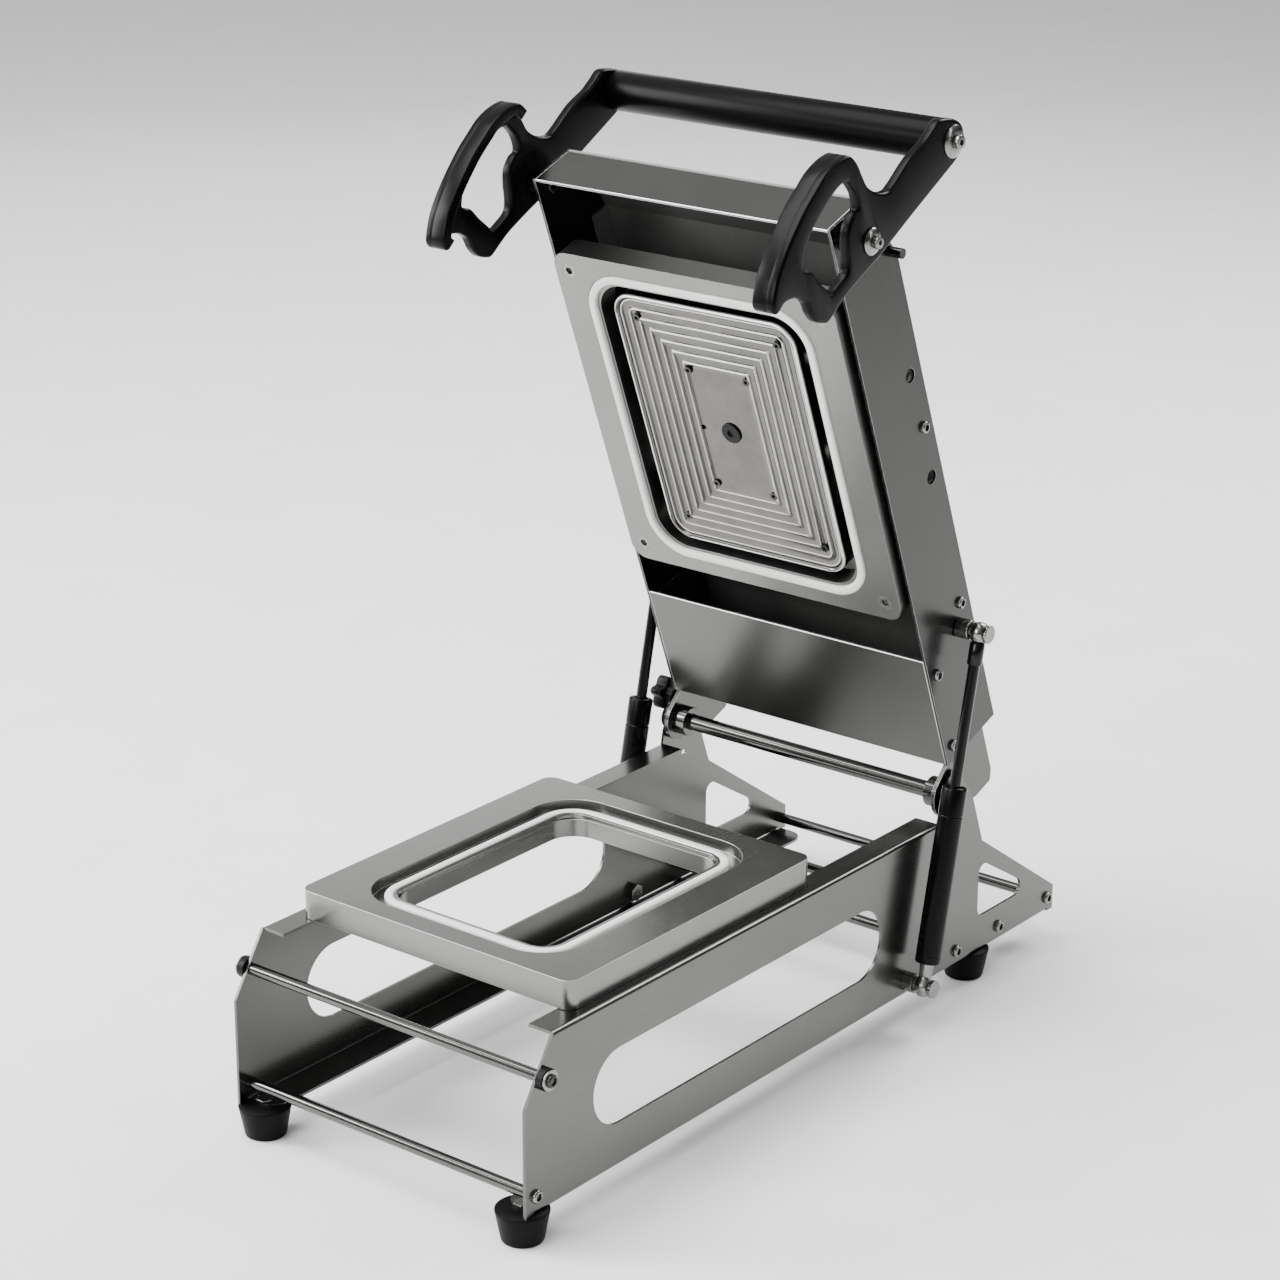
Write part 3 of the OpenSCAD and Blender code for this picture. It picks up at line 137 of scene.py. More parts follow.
brushedSheet = {  # what the brushed sheets share, grain along Y
    "metallic": 1,
    "roughness": (0.22, 0.26),
    "grainMm": (0.3, 40, 0.3),
    "cloudMm": 90,
    "cloudShare": 0.4,
    "bump": 0.05,
    "bumpMm": 0.01,
}
paintedEdgeHighlight = {  # what the painted edge highlights share
    "metallic": 1.0,
    "roughness": (0.38, 0.44),
    "grainMm": (0.5, 0.5, 0.5),
    "bump": 0.05,
    "bumpMm": 0.01,
}
plainFastener = {  # what the fasteners share
    "metallic": 1,
    "roughness": (0.16, 0.28),
    "grainMm": (0.6, 0.6, 0.6),
    "cloudMm": 6,
    "bump": 0.08,
    "bumpMm": 0.02,
}
looks = {
    # brushed stainless sheet of the base
    "baseSteel": brushedSheet | {"dark": "626260", "light": "6c6c6a"},
    # the same sheet on the head's lower panel and hinge arms, grain along the head
    "headSteel": brushedSheet | {"dark": "585856", "light": "626260", "tilt": headAngle},
    # the same stainless sheet painted darker as shade on the head's two side plates, grain along the head
    "sideSteelPaintedShade": brushedSheet | {"dark": "404040", "light": "484846", "tilt": headAngle},
    # more matt stainless sheet of the head's cover, painted lighter than the other sheets as light inside the
    # nose
    "coverSteelPaintedLight": brushedSheet
    | {"dark": "a4a4a2", "light": "aeaeac", "tilt": headAngle, "roughness": (0.42, 0.48)},
    # brushed sheet of the nose panel and the cross members, grain across the machine
    "crossSteel": brushedSheet | {"dark": "585856", "light": "626260", "grainMm": (40, 0.3, 0.3)},
    # turned stainless bar, fine rings round its length
    "barSteel": {
        "metallic": 1,
        "dark": "565655",
        "light": "666664",
        "roughness": (0.1, 0.13),
        "grainMm": (0.3, 6, 6),
        "cloudMm": 30,
        "bump": 0.04,
        "bumpMm": 0.01,
    },
    # painted highlight, near white, along the rounding of steel sheet and plate edges
    "steelEdgeHighlight": paintedEdgeHighlight | {"dark": "e2e2e0", "light": "eeeeec"},
    # painted highlight in an aluminium tone on the die's rounded edges and on the crests of the heating
    # plate's steps
    "aluminiumEdgeHighlight": paintedEdgeHighlight | {"dark": "b4b4b2", "light": "c0c0be"},
    # plain stainless fasteners
    "screwSteel": plainFastener | {"dark": "7c7c7a", "light": "929290"},
    # blackened steel of the heater's and the rollers' screws and the stop pins, and painted shade on the
    # floor of the hex sockets
    "darkSteelAndSocketShade": plainFastener | {"dark": "383837", "light": "484846"},
    # satin machined aluminium die, tool marks along Y
    "dieAluminium": {
        "metallic": 1,
        "dark": "7c7c7a",
        "light": "868684",
        "roughness": (0.24, 0.28),
        "grainMm": (0.3, 30, 0.3),
        "cloudMm": 80,
        "cloudShare": 0.4,
        "bump": 0.05,
        "bumpMm": 0.01,
    },
    # bead-blasted aluminium clamp plate
    "clampAluminium": {
        "metallic": 1,
        "dark": "767674",
        "light": "7e7e7c",
        "roughness": (0.3, 0.34),
        "grainMm": (0.35, 0.35, 0.35),
        "cloudMm": 60,
        "bump": 0.14,
        "bumpMm": 0.03,
    },
    # milled aluminium heating plate, short cutter marks
    "heaterAluminium": {
        "metallic": 1,
        "dark": "5a5856",
        "light": "676563",
        "roughness": (0.1, 0.14),
        "grainMm": (0.5, 5, 0.5),
        "tilt": headAngle,
        "cloudMm": 16,
        "cloudShare": 0.5,
        "bump": 0.05,
        "bumpMm": 0.01,
    },
    # pale silicone of the die's seal, and the line on the knob
    "paleSilicone": {
        "dark": "e4e4e1",
        "light": "f2f2ef",
        "roughness": (0.36, 0.46),
        "grainMm": (0.5, 0.5, 0.5),
        "cloudMm": 25,
        "bump": 0.1,
        "bumpMm": 0.03,
    },
    # glossier silicone of the clamp plate's ring, painted greyer than the die's seal as shade under the head
    "siliconePaintedShade": {
        "dark": "cfcfcc",
        "light": "dadad7",
        "roughness": (0.28, 0.34),
        "grainMm": (0.5, 0.5, 0.5),
        "cloudMm": 25,
        "bump": 0.1,
        "bumpMm": 0.03,
    },
    # moulded rubber feet
    "footRubber": {
        "dark": "040404",
        "light": "070707",
        "roughness": (0.42, 0.56),
        "grainMm": (0.4, 0.4, 0.4),
        "cloudMm": 12,
        "bump": 0.35,
        "bumpMm": 0.05,
        "shader": {"Specular IOR Level": 0.08},
    },
    # fine-grained black handle moulding
    "handleBlack": {
        "dark": "040404",
        "light": "070707",
        "roughness": (0.24, 0.3),
        "grainMm": (0.35, 0.35, 0.35),
        "cloudMm": 40,
        "bump": 0.22,
        "bumpMm": 0.035,
        "shader": {"Specular IOR Level": 0.09},
    },
    # black lacquered grip tube, faint turning marks
    "gripBlack": {
        "dark": "030303",
        "light": "060606",
        "roughness": (0.32, 0.38),
        "grainMm": (0.25, 5, 5),
        "cloudMm": 50,
        "bump": 0.14,
        "bumpMm": 0.03,
        "shader": {"Specular IOR Level": 0.06},
    },
    # black enamel of the gas springs
    "springEnamel": {
        "dark": "020202",
        "light": "040404",
        "roughness": (0.2, 0.3),
        "grainMm": (0.9, 0.9, 0.9),
        "cloudMm": 20,
        "bump": 0.1,
        "bumpMm": 0.02,
        "shader": {"Specular IOR Level": 0.12},
    },
    # black nitrided gas spring rod
    "rodNitride": {
        "metallic": 0.6,
        "dark": "0e0e0e",
        "light": "181818",
        "roughness": (0.14, 0.22),
        "grainMm": (0.4, 0.4, 4),
        "bump": 0.06,
        "bumpMm": 0.02,
    },
    # black plastic of the caps, rollers, knobs, switch, thermostat and inlet
    "partBlack": {
        "dark": "040404",
        "light": "080808",
        "roughness": (0.34, 0.46),
        "grainMm": (0.4, 0.4, 0.4),
        "cloudMm": 15,
        "bump": 0.25,
        "bumpMm": 0.04,
        "shader": {"Specular IOR Level": 0.15},
    },
    # dark heat-proof board
    "darkBoard": {
        "dark": "141312",
        "light": "262423",
        "roughness": (0.7, 0.85),
        "grainMm": (0.8, 0.8, 0.8),
        "bump": 0.4,
        "bumpMm": 0.1,
    },
    # red rocker moulding
    "rockerRed": {
        "dark": "8e1411",
        "light": "a41a16",
        "roughness": (0.2, 0.28),
        "grainMm": (0.5, 0.5, 0.5),
        "bump": 0.08,
        "bumpMm": 0.02,
    },
}
materials = {name: makeMaterial(name, look) for name, look in looks.items()}
print("materials:", len(materials))


# points of a rounded rectangle at height z, corner by corner
def roundLoop(width, length, radius, z, steps=10):
    angles = np.linspace(0, np.pi / 2, steps + 1)
    points = []
    for k, (sideX, sideY) in enumerate(((1, 1), (-1, 1), (-1, -1), (1, -1))):
        turn = angles + k * np.pi / 2
        x = sideX * (width / 2 - radius) + radius * np.cos(turn)
        y = sideY * (length / 2 - radius) + radius * np.sin(turn)
        points.append(np.stack([x, y, np.full_like(x, z)], axis=1))
    return np.concatenate(points)


roundSteps = 48  # faces round most turned shapes


# rings of a turned shape: each profile point is a radius and a height
def lathe(profile, steps=roundSteps):
    turn = np.arange(steps) * 2 * np.pi / steps
    circle = np.stack([np.cos(turn), np.sin(turn)], axis=1)
    return np.stack([np.column_stack([radius * circle, np.full(steps, z)]) for radius, z in profile])


# rings whose radius may follow a hexagon: each profile point is a radius, a height and a hexagon share
def hexLathe(profile):
    turn = np.arange(roundSteps) * 2 * np.pi / roundSteps
    flat = 1 / np.cos((turn + np.pi / 6) % (np.pi / 3) - np.pi / 6)
    rings = []
    for radius, z, share in profile:
        reach = radius * (1 + share * (flat - 1))
        rings.append(np.column_stack([reach * np.cos(turn), reach * np.sin(turn), np.full(roundSteps, z)]))
    return np.stack(rings)


# a space whose Z runs along axis from place, in mm
def alongSpace(place, axis):
    return Matrix.Translation(place) @ Vector(axis).to_track_quat("Z", "Y").to_matrix().to_4x4()


# one mesh in metres from ring lists, each a space, rings and whether they close into a loop; lists
# that don't close get a flat cap at both ends
def ringMesh(name, parts, sharp=35):
    points, faces, start = [], [], 0
    for space, rings, loop in parts:
        rows, count = rings.shape[:2]
        turn = np.array(space.to_3x3())
        points.append(rings.reshape(-1, 3) @ turn.T + np.array(space.translation))
        here = np.arange(count)
        after = (here + 1) % count
        row = np.arange(rows if loop else rows - 1)[:, None]
        low = start + row * count
        high = start + (row + 1) % rows * count
        quads = np.stack([low + here, low + after, high + after, high + here], axis=-1)
        faces += quads.reshape(-1, 4).tolist()
        if not loop:
            faces.append((start + here[::-1]).tolist())
            faces.append((start + (rows - 1) * count + here).tolist())
        start += rows * count
    mesh = bpy.data.meshes.new(name)
    mesh.from_pydata((np.concatenate(points) * mm).tolist(), [], faces)
    return finishMesh(mesh, sharp)


# faces turned outward and shaded smooth, edges over the sharp angle kept
def finishMesh(mesh, sharp):
    work = bmesh.new()
    work.from_mesh(mesh)
    bmesh.ops.recalc_face_normals(work, faces=work.faces)
    for face in work.faces:
        face.smooth = True
    work.to_mesh(mesh)
    work.free()
    mesh.set_sharp_from_angle(angle=math.radians(sharp))
    return mesh


# puts a mesh in the scene in place of a CAD node, on the node's body, with the named material
def addPiece(name, mesh, node, materialName):
    piece = bpy.data.objects.new(name, mesh)
    bpy.context.scene.collection.objects.link(piece)
    mesh.materials.clear()
    mesh.materials.append(materials[materialName])
    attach(piece, bodyOf[node])
    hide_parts(node)
    return piece


bevelFrom = math.radians(32)  # edges turning by more than this are rounded


# bevelled edges, with a painted highlight on the bevel where one is named; each corner's shading is weighted
# by its faces' areas, so flat sheets stay flat
def roundEdges(piece, widthMm, segments, highlightName=None):
    mod = piece.modifiers.new("edges", "BEVEL")
    mod.width = widthMm * mm
    mod.segments = segments
    mod.limit_method = "ANGLE"
    mod.angle_limit = bevelFrom
    mod.use_clamp_overlap = True
    if highlightName:
        piece.data.materials.append(materials[highlightName])
        mod.material = 1
    piece.modifiers.new("shading", "WEIGHTED_NORMAL")


flatAngle = math.radians(0.6)  # triangles within this angle count as one flat face
weldMm = {"node": 0.002, "handle": 0.01}  # corners closer than this are joined


# a node's mesh with its doubled corners joined and its flat triangles merged
def cleanCopy(node):
    work = bmesh.new()
    work.from_mesh(frame["nodes"][node].data)
    bmesh.ops.remove_doubles(work, verts=work.verts, dist=weldMm["node"] * mm)
    bmesh.ops.dissolve_limit(work, angle_limit=flatAngle, verts=work.verts, edges=work.edges)
    for face in work.faces:
        face.smooth = True
    plain = bpy.data.meshes.new(node + "Look")
    work.to_mesh(plain)
    work.free()
    return plain


edgePieces = {  # node: material, edge rounding in mm, segments
    "left_side_plate": ("baseSteel", 0.6, 3),
    "right_side_plate": ("baseSteel", 0.6, 3),
    "front_top_bar": ("barSteel", 0.4, 2),
    "front_bottom_bar": ("barSteel", 0.4, 2),
    "rear_bars": ("barSteel", 0.4, 2),
    "foot_screws": ("screwSteel", 0.4, 2),
    "hinge_shaft": ("barSteel", 0.4, 2),
    "shaft_caps": ("partBlack", 1.2, 3),
    "lower_gas_studs": ("screwSteel", 0.6, 3),
    "roller_bushes": ("barSteel", 0.15, 2),
    "roller_washers": ("screwSteel", 0.25, 2),
    "left_roller": ("partBlack", 0.5, 3),
    "right_roller": ("partBlack", 0.5, 3),
    "tray_die": ("dieAluminium", 1.0, 3),
    "die_pins": ("barSteel", 0.3, 2),
    "left_head_plate": ("sideSteelPaintedShade", 0.6, 3),
    "right_head_plate": ("sideSteelPaintedShade", 0.6, 3),
    "top_cover": ("coverSteelPaintedLight", 0.5, 2),
    "end_panel": ("crossSteel", 0.6, 3),
    "lower_panel": ("headSteel", 0.6, 3),
    "hinge_arms": ("headSteel", 0.4, 2),
    "hinge_bosses": ("barSteel", 0.5, 2),
    "stop_pins": ("darkSteelAndSocketShade", 0.5, 3),
    "handle_spacers": ("barSteel", 0.4, 2),
    "heater_screws": ("darkSteelAndSocketShade", 0.3, 2),
    "heater_middle_screw": ("partBlack", 0.4, 2),
    "heater_insulation": ("darkBoard", 0.5, 2),
    "cross_members": ("crossSteel", 0.3, 2),
    "spring_housings": ("barSteel", 0.4, 2),
    "clamp_plate": ("clampAluminium", 0.8, 3),
    "clamp_screws": ("screwSteel", 0.4, 2),
    "clamp_pins": ("barSteel", 0.4, 2),
    "left_gas_stud": ("screwSteel", 0.8, 3),
    "right_gas_stud": ("screwSteel", 0.8, 3),
    "thermostat_body": ("partBlack", 0.6, 2),
    "switch_housing": ("partBlack", 0.5, 2),
    "power_rocker": ("rockerRed", 0.5, 2),
    "power_inlet": ("partBlack", 0.5, 2),
}
sideHoles = {  # the head's open side holes, y and z in its own space, shown at the size in the photo
    "spots": [(-322.3, 54), (-240, 54)],
    "radius": 4.2,
    "slack": 0.2,  # a corner this near the radius lies on the hole's edge
    "shown": {  # node: shown radius, lowest that a hole may reach
        "left_head_plate": (5.2, 0),
        "right_head_plate": (5.2, 0),
        "top_cover": (5.2, 49.8),
    },
}


# moves the corners on each hole's edge out to the shown radius
def widenHoles(mesh, holes, shown, floor):
    flat = np.empty(len(mesh.vertices) * 3)
    mesh.vertices.foreach_get("co", flat)
    back, there = np.array(headSpace.inverted()), np.array(headSpace)
    points = flat.reshape(-1, 3) / mm @ back[:3, :3].T + back[:3, 3]
    for y, z in holes["spots"]:
        away = points[:, 1:] - (y, z)
        reach = np.hypot(away[:, 0], away[:, 1])
        onEdge = np.abs(reach - holes["radius"]) < holes["slack"]
        points[onEdge, 1:] = (y, z) + away[onEdge] * (shown / reach[onEdge])[:, None]
        points[onEdge, 2] = np.maximum(points[onEdge, 2], floor)
    mesh.vertices.foreach_set("co", ((points @ there[:3, :3].T + there[:3, 3]) * mm).ravel())


# nodes whose rounded edges get a painted highlight
brightEdged = ("left_side_plate", "right_side_plate", "left_head_plate", "right_head_plate", "top_cover",
               "end_panel", "lower_panel", "hinge_arms", "clamp_plate")
edgeHighlightOf = {"tray_die": "aluminiumEdgeHighlight"} | {node: "steelEdgeHighlight" for node in brightEdged}
for node, (materialName, widthMm, segments) in edgePieces.items():
    piece = addPiece(node + "Look", cleanCopy(node), node, materialName)
    if node in sideHoles["shown"]:
        widenHoles(piece.data, sideHoles, *sideHoles["shown"][node])
    roundEdges(piece, widthMm, segments, edgeHighlightOf.get(node))
print("pieces with rounded edges:", len(edgePieces))


plate = {  # heating plate in mm, heights in the stack's space with the face towards lower values
    "width": 152,
    "length": 204,
    "corner": 17,
    "back": 17.4,
    "rim": [(0, 3.4), (0.1, 2.6), (0.35, 2.0), (0.8, 1.6), (1.4, 1.4), (2.0, 1.45), (2.5, 1.75), (2.9, 2.3),
            (3.2, 3.1)],
    "steps": 7,
    "stepWidth": 7.4,
    "stepDepth": 1.4,
    "stepShape": [(0.04, 0.86), (0.08, 0.5), (0.12, 0.15), (0.16, 0.0), (0.2, 0.03), (0.27, 0.2),
                  (0.36, 0.46), (0.46, 0.68), (0.58, 0.85), (0.72, 0.96), (0.88, 1.0), (1.0, 1.0)],
    "stepFloor": 3.0,
    "stepCorner": 2.0,  # smallest corner radius
    "cornerFall": 1.1,  # how fast the corner radius falls with the inset
    "rimHighlight": (0.05, 1.7),  # insets between which the rim gets a painted highlight
    "crestHighlight": (0.08, 0.24),  # shares of a step that get a painted highlight along its crest
    "screwSpots": [(58.8, 83), (24.5, 47)],
    "screwBore": 3.05,
    "middleBore": 7.95,
    "sensor": (-24, 0, 2.0),  # place and radius
    "boreDepth": 2.4,
    "sensorDeeper": 3,
    "boreSteps": 32,
}


# rounded rectangles from the back over the rim, then the step shape repeated inward to the flat middle
def plateRings(plate):
    levels = [(0, plate["back"], plate["corner"])]
    levels += [(inset, z, plate["corner"] - inset) for inset, z in plate["rim"]]
    rimEnd = plate["rim"][-1][0]
    for step in range(plate["steps"]):
        for share, sink in plate["stepShape"]:
            inset = rimEnd + (step + share) * plate["stepWidth"]
            z = plate["stepFloor"] + plate["stepDepth"] * sink
            corner = plate["corner"] - rimEnd - (inset - rimEnd) * plate["cornerFall"]
            corner = max(corner, plate["stepCorner"])
            levels.append((inset, z, corner))
    rings = []
    for inset, z, corner in levels:
        rings.append(roundLoop(plate["width"] - 2 * inset, plate["length"] - 2 * inset, corner, z))
    return np.stack(rings)


# the mesh with cylinders cut out of it: each bore is x, y, radius, low z and high z in the given space
def boredMesh(mesh, space, bores, steps, sharp):
    cutters = []
    for x, y, radius, low, high in bores:
        cylinder = lathe([(radius, low), (radius, high)], steps)
        cutters.append((space @ Matrix.Translation((x, y, 0)), cylinder, False))
    body = bpy.data.objects.new("boreBody", mesh)
    tool = bpy.data.objects.new("boreTool", ringMesh("boreTool", cutters))
    for item in (body, tool):
        bpy.context.scene.collection.objects.link(item)
    cut = body.modifiers.new("bores", "BOOLEAN")
    cut.operation = "DIFFERENCE"
    cut.solver = "EXACT"
    cut.object = tool
    cutMesh = bpy.data.meshes.new_from_object(body.evaluated_get(bpy.context.evaluated_depsgraph_get()))
    for item in (body, tool):
        bpy.data.objects.remove(item)
    return finishMesh(cutMesh, sharp)


# how far points lie inside a rounded rectangle's outline
def insetOf(x, y, width, length, radius):
    overX = np.abs(x) - (width / 2 - radius)
    overY = np.abs(y) - (length / 2 - radius)
    outward = np.hypot(np.maximum(overX, 0), np.maximum(overY, 0))
    return radius - outward - np.minimum(np.maximum(overX, overY), 0)


# painted highlights on the plate's front rim and on the crest of each step, by each face's place
def paintPlateHighlights(mesh, plate):
    centres = np.empty(len(mesh.polygons) * 3)
    mesh.polygons.foreach_get("center", centres)
    back = np.array(stackSpace.inverted())
    x, y, z = (centres.reshape(-1, 3) / mm @ back[:3, :3].T + back[:3, 3]).T
    inset = insetOf(x, y, plate["width"], plate["length"], plate["corner"])
    rimEnd = plate["rim"][-1][0]
    share = (inset - rimEnd) / plate["stepWidth"] % 1
    onStep = (inset > rimEnd) & (inset < rimEnd + plate["steps"] * plate["stepWidth"])
    crestHighlight = onStep & (share > plate["crestHighlight"][0]) & (share < plate["crestHighlight"][1])
    rim = (inset > plate["rimHighlight"][0]) & (inset < plate["rimHighlight"][1]) & (z < plate["back"] / 2)
    highlightIndex = np.select([rim, crestHighlight], [1, 2], 0)
    mesh.polygons.foreach_set("material_index", highlightIndex.astype(np.int32))


def addHeatingPlate(plate):
    floor = plate["stepFloor"] + plate["boreDepth"]
    bores = [
        (sideX * x, sideY * y, plate["screwBore"], 0, floor)
        for x, y in plate["screwSpots"]
        for sideX in (-1, 1)
        for sideY in (-1, 1)
    ]
    bores.append((0, 0, plate["middleBore"], 0, floor))
    bores.append((*plate["sensor"], 0, floor + plate["sensorDeeper"]))
    solid = ringMesh("heatingPlate", [(stackSpace, plateRings(plate), False)])
    mesh = boredMesh(solid, stackSpace, bores, plate["boreSteps"], sharp=70)
    addPiece("heatingPlate", mesh, "heating_plate", "heaterAluminium")
    # slots 1 and 2 hold the painted highlights of the rim and of the step crests
    mesh.materials.append(materials["steelEdgeHighlight"])
    mesh.materials.append(materials["aluminiumEdgeHighlight"])
    paintPlateHighlights(mesh, plate)


addHeatingPlate(plate)

# sections of the seals, each point an inset from the outer outline and a height over the foot
dieSection = [(0, 0), (0, 2.3), (0.3, 3.1), (0.9, 3.7), (1.9, 4.0), (4.6, 4.0), (5.6, 3.7), (6.2, 3.1),
              (6.5, 2.3), (6.5, 0)]
lipSection = [(6.5, 0), (6.5, 3.1), (6.7, 3.4), (8.6, 3.4), (8.9, 3.2), (9, 2.8), (9, 0)]
ringSection = [(0.7, 0), (0.7, 2.2), (0.9, 3.0), (1.3, 3.6), (1.9, 3.95), (2.6, 4.0), (4.9, 4.0), (5.7, 3.8),
               (6.3, 3.3), (6.6, 2.5), (6.7, 1.4), (6.7, 0)]
diePlace = baseSpace @ Matrix.Translation((0, 183, 0))  # under the middle of the die
dieSeat = ("die_seal", diePlace, 155, 205, 24.5, 132.2, 1)
clampSeat = ("clamp_ring", stackSpace, 190, 236, 32, 0.4, -0.75)
seals = {  # name: node, space, outer width, outer length, corner, foot height, rise; section, material
    "dieSeal": (dieSeat, dieSection, "paleSilicone"),
    "dieLip": (dieSeat, lipSection, "dieAluminium"),
    "clampRing": (clampSeat, ringSection, "siliconePaintedShade"),
}
sealCornerSteps = 14


# a seal's section drawn round its outline: the space, the rings and that they close
def sealRings(space, width, length, corner, foot, rise, section):
    rings = []
    for inset, z in section:
        size = (width - 2 * inset, length - 2 * inset, corner - inset)
        rings.append(roundLoop(*size, foot + rise * z, sealCornerSteps))
    return (space, np.stack(rings), True)


for name, ((node, *seat), section, materialName) in seals.items():
    addPiece(name, ringMesh(name, [sealRings(*seat, section)], sharp=50), node, materialName)
print("heating plate and seals done")


feet = {
    "spots": [(x, y) for x in (-112, 112) for y in (12, 510)],
    "profile": [(6.1, -10.0), (6.1, -21.3), (6.8, -22), (12.6, -22), (13.6, -21.5), (14.1, -20.4),
                (17.5, -2.4), (17.8, -1.2), (17.7, -0.5), (17.2, 0), (3.2, 0), (3.2, -10.0)],
    "steps": 56,
}
foot = lathe(feet["profile"], feet["steps"])
footParts = [(baseSpace @ Matrix.Translation((x, y, 0)), foot, True) for x, y in feet["spots"]]
addPiece("rubberFeet", ringMesh("rubberFeet", footParts, sharp=50), "rubber_feet", "footRubber")

springs = {  # along the spring's axis from its low stud, in mm
    "low": (140, 415, 11),
    "lean": math.radians(12.4588),
    "length": 255.614,
    "tube": [(4.2, 17.4), (7.6, 17.4), (8.6, 17.8), (9.0, 18.6), (9.0, 22.6), (8.72, 22.9), (8.72, 23.7),
             (9.0, 24.0), (9.0, 124.2), (8.5, 124.6), (8.4, 125.1), (8.5, 125.6), (9.0, 126.0), (9.0, 143.6),
             (8.8, 144.5), (8.2, 145.2), (7.4, 145.4), (5.2, 145.4), (4.9, 144.6), (4.3, 144.6), (4.3, 17.6)],
    "rod": [(4.0, 100.0), (4.0, 232.6)],
    "lowEnd": [(0.5, -7.4), (3.4, -6.9), (5.4, -5.4), (6.7, -3.0), (7.0, 0), (6.6, 2.8), (5.4, 5.0),
               (4.7, 6.6), (4.5, 8.4), (5.0, 14.6), (5.2, 17.0), (4.8, 17.4), (0.5, 17.5)],
    "highNeck": [(0.5, 232.4), (4.9, 232.6), (5.3, 233.2), (5.3, 247.6), (4.9, 248.4), (0.5, 248.6)],
    "highEnd": [(0.5, 248.0), (3.6, 248.2), (5.4, 250.0), (6.7, 252.4), (7.0, 255.6), (6.6, 258.6),
                (5.4, 261.0), (3.4, 262.4), (0.5, 262.9)],
    "collar": [(0.5, -6.0), (3.4, -6.0), (4.2, -5.4), (4.2, 5.4), (3.4, 6.0), (0.5, 6.0)],
}


# tube, rod and the two ball ends of one side's spring
def addSpring(side, name):
    x, y, z = springs["low"]
    axis = (0, math.sin(springs["lean"]), math.cos(springs["lean"]))
    low = baseSpace @ Vector((side * x, y, z))
    space = alongSpace(low, axis)
    across = alongSpace(low, (1, 0, 0))
    acrossHigh = alongSpace(low + Vector(axis) * springs["length"], (1, 0, 0))
    pieces = [
        ("GasTube", "gas_cylinder", "springEnamel", None, [(space, lathe(springs["tube"]), True)]),
        ("GasLowEnd", "gas_cylinder", "screwSteel", "screw_steel",
         [(space, lathe(springs["lowEnd"]), False), (across, lathe(springs["collar"]), False)]),
        ("GasRod", "gas_rod", "rodNitride", None,
         [(space, lathe(springs["rod"]), False), (space, lathe(springs["highNeck"]), False)]),
        ("GasHighEnd", "gas_rod", "screwSteel", "screw_steel",
         [(space, lathe(springs["highEnd"]), False), (acrossHigh, lathe(springs["collar"]), False)]),
    ]
    for part, node, materialName, slot, rings in pieces:
        mesh = ringMesh(name + part, rings, sharp=40)
        addPiece(name + part, mesh, name + "_" + node, materialName)


addSpring(-1, "left")
addSpring(1, "right")
print("feet and gas springs done")


# the handle in mm; its outlines are shares of the reach, measured from the pivot towards -y and -z
handle = {
    "reach": 100,
    "pivot": (-451.2, 19.4),
    "outside": 143.3,
    "plate": 8,
    "rimInside": 126,
    "rimHeight": 7.5,
    "round": 2.2,
    "rimRound": 1.4,
    "rimOverlap": 3,  # how far the rim reaches into the plate
    "rimSpan": (9, 24),  # outline points along which the rim runs
    "rimShort": 5,  # points by which its inner line ends sooner
    "rimInner": [(0.12, 0.935), (0.15, 0.955), (0.2, 0.93)],
    "grip": (14.2, 101.5),  # the grip bar lies this far towards -y and z from the pivot
    "boltHole": 5.5,
    "gripHole": 3.1,
    "nutSeat": 117.6,
    "fine": 6,  # curve points for each outline point
    "holeSteps": 40,
    "bevelSteps": 4,
}
handleOutline = [
    (0.343, -0.94), (0.32, -0.84), (0.293, -0.733), (0.276, -0.559), (0.215, -0.351),
    (0.207, -0.266), (0.263, -0.161), (0.346, -0.086), (0.441, -0.057), (0.546, -0.032),
    (0.632, 0.02), (0.656, 0.091), (0.662, 0.189), (0.648, 0.3), (0.611, 0.404),
    (0.565, 0.525), (0.509, 0.636), (0.45, 0.74), (0.387, 0.835), (0.325, 0.915),
    (0.258, 0.978), (0.157, 1.043), (0.1, 1.034), (0.09, 0.999), (0.113, 0.932),
    (0.099, 0.859), (0.064, 0.792), (0.002, 0.735), (-0.045, 0.722), (-0.104, 0.713),
    (-0.178, 0.679), (-0.23, 0.617), (-0.251, 0.564), (-0.227, 0.475), (-0.192, 0.341),
    (-0.165, 0.12), (-0.15, -0.05), (-0.126, -0.196), (-0.08, -0.48), (-0.03, -0.82),
    (0.002, -1.015), (0.05, -1.11), (0.162, -1.15), (0.26, -1.09),
]
openingOutline = [
    (0.467, 0.085), (0.374, 0.047), (0.272, 0.051), (0.255, 0.108), (0.199, 0.187),
    (0.107, 0.229), (-0.007, 0.258), (-0.067, 0.298), (-0.09, 0.39), (-0.098, 0.481),
    (-0.045, 0.513), (0.06, 0.576), (0.154, 0.623), (0.21, 0.692), (0.263, 0.674),
    (0.333, 0.62), (0.41, 0.494), (0.48, 0.311), (0.506, 0.183), (0.493, 0.107),
]


# points on a closed smooth curve through the given ones (a cubic through each four), count between each two
def smoothLoop(shares, count):
    p = np.array(shares)
    a, b, c, d = (np.roll(p, shift, axis=0)[:, None, :] for shift in (1, 0, -1, -2))
    t = (np.arange(count) / count)[None, :, None]
    cubic = 2 * b + (c - a) * t + (2 * a - 5 * b + 4 * c - d) * t**2 + (3 * b - a - 3 * c + d) * t**3
    return (cubic / 2).reshape(-1, 2)


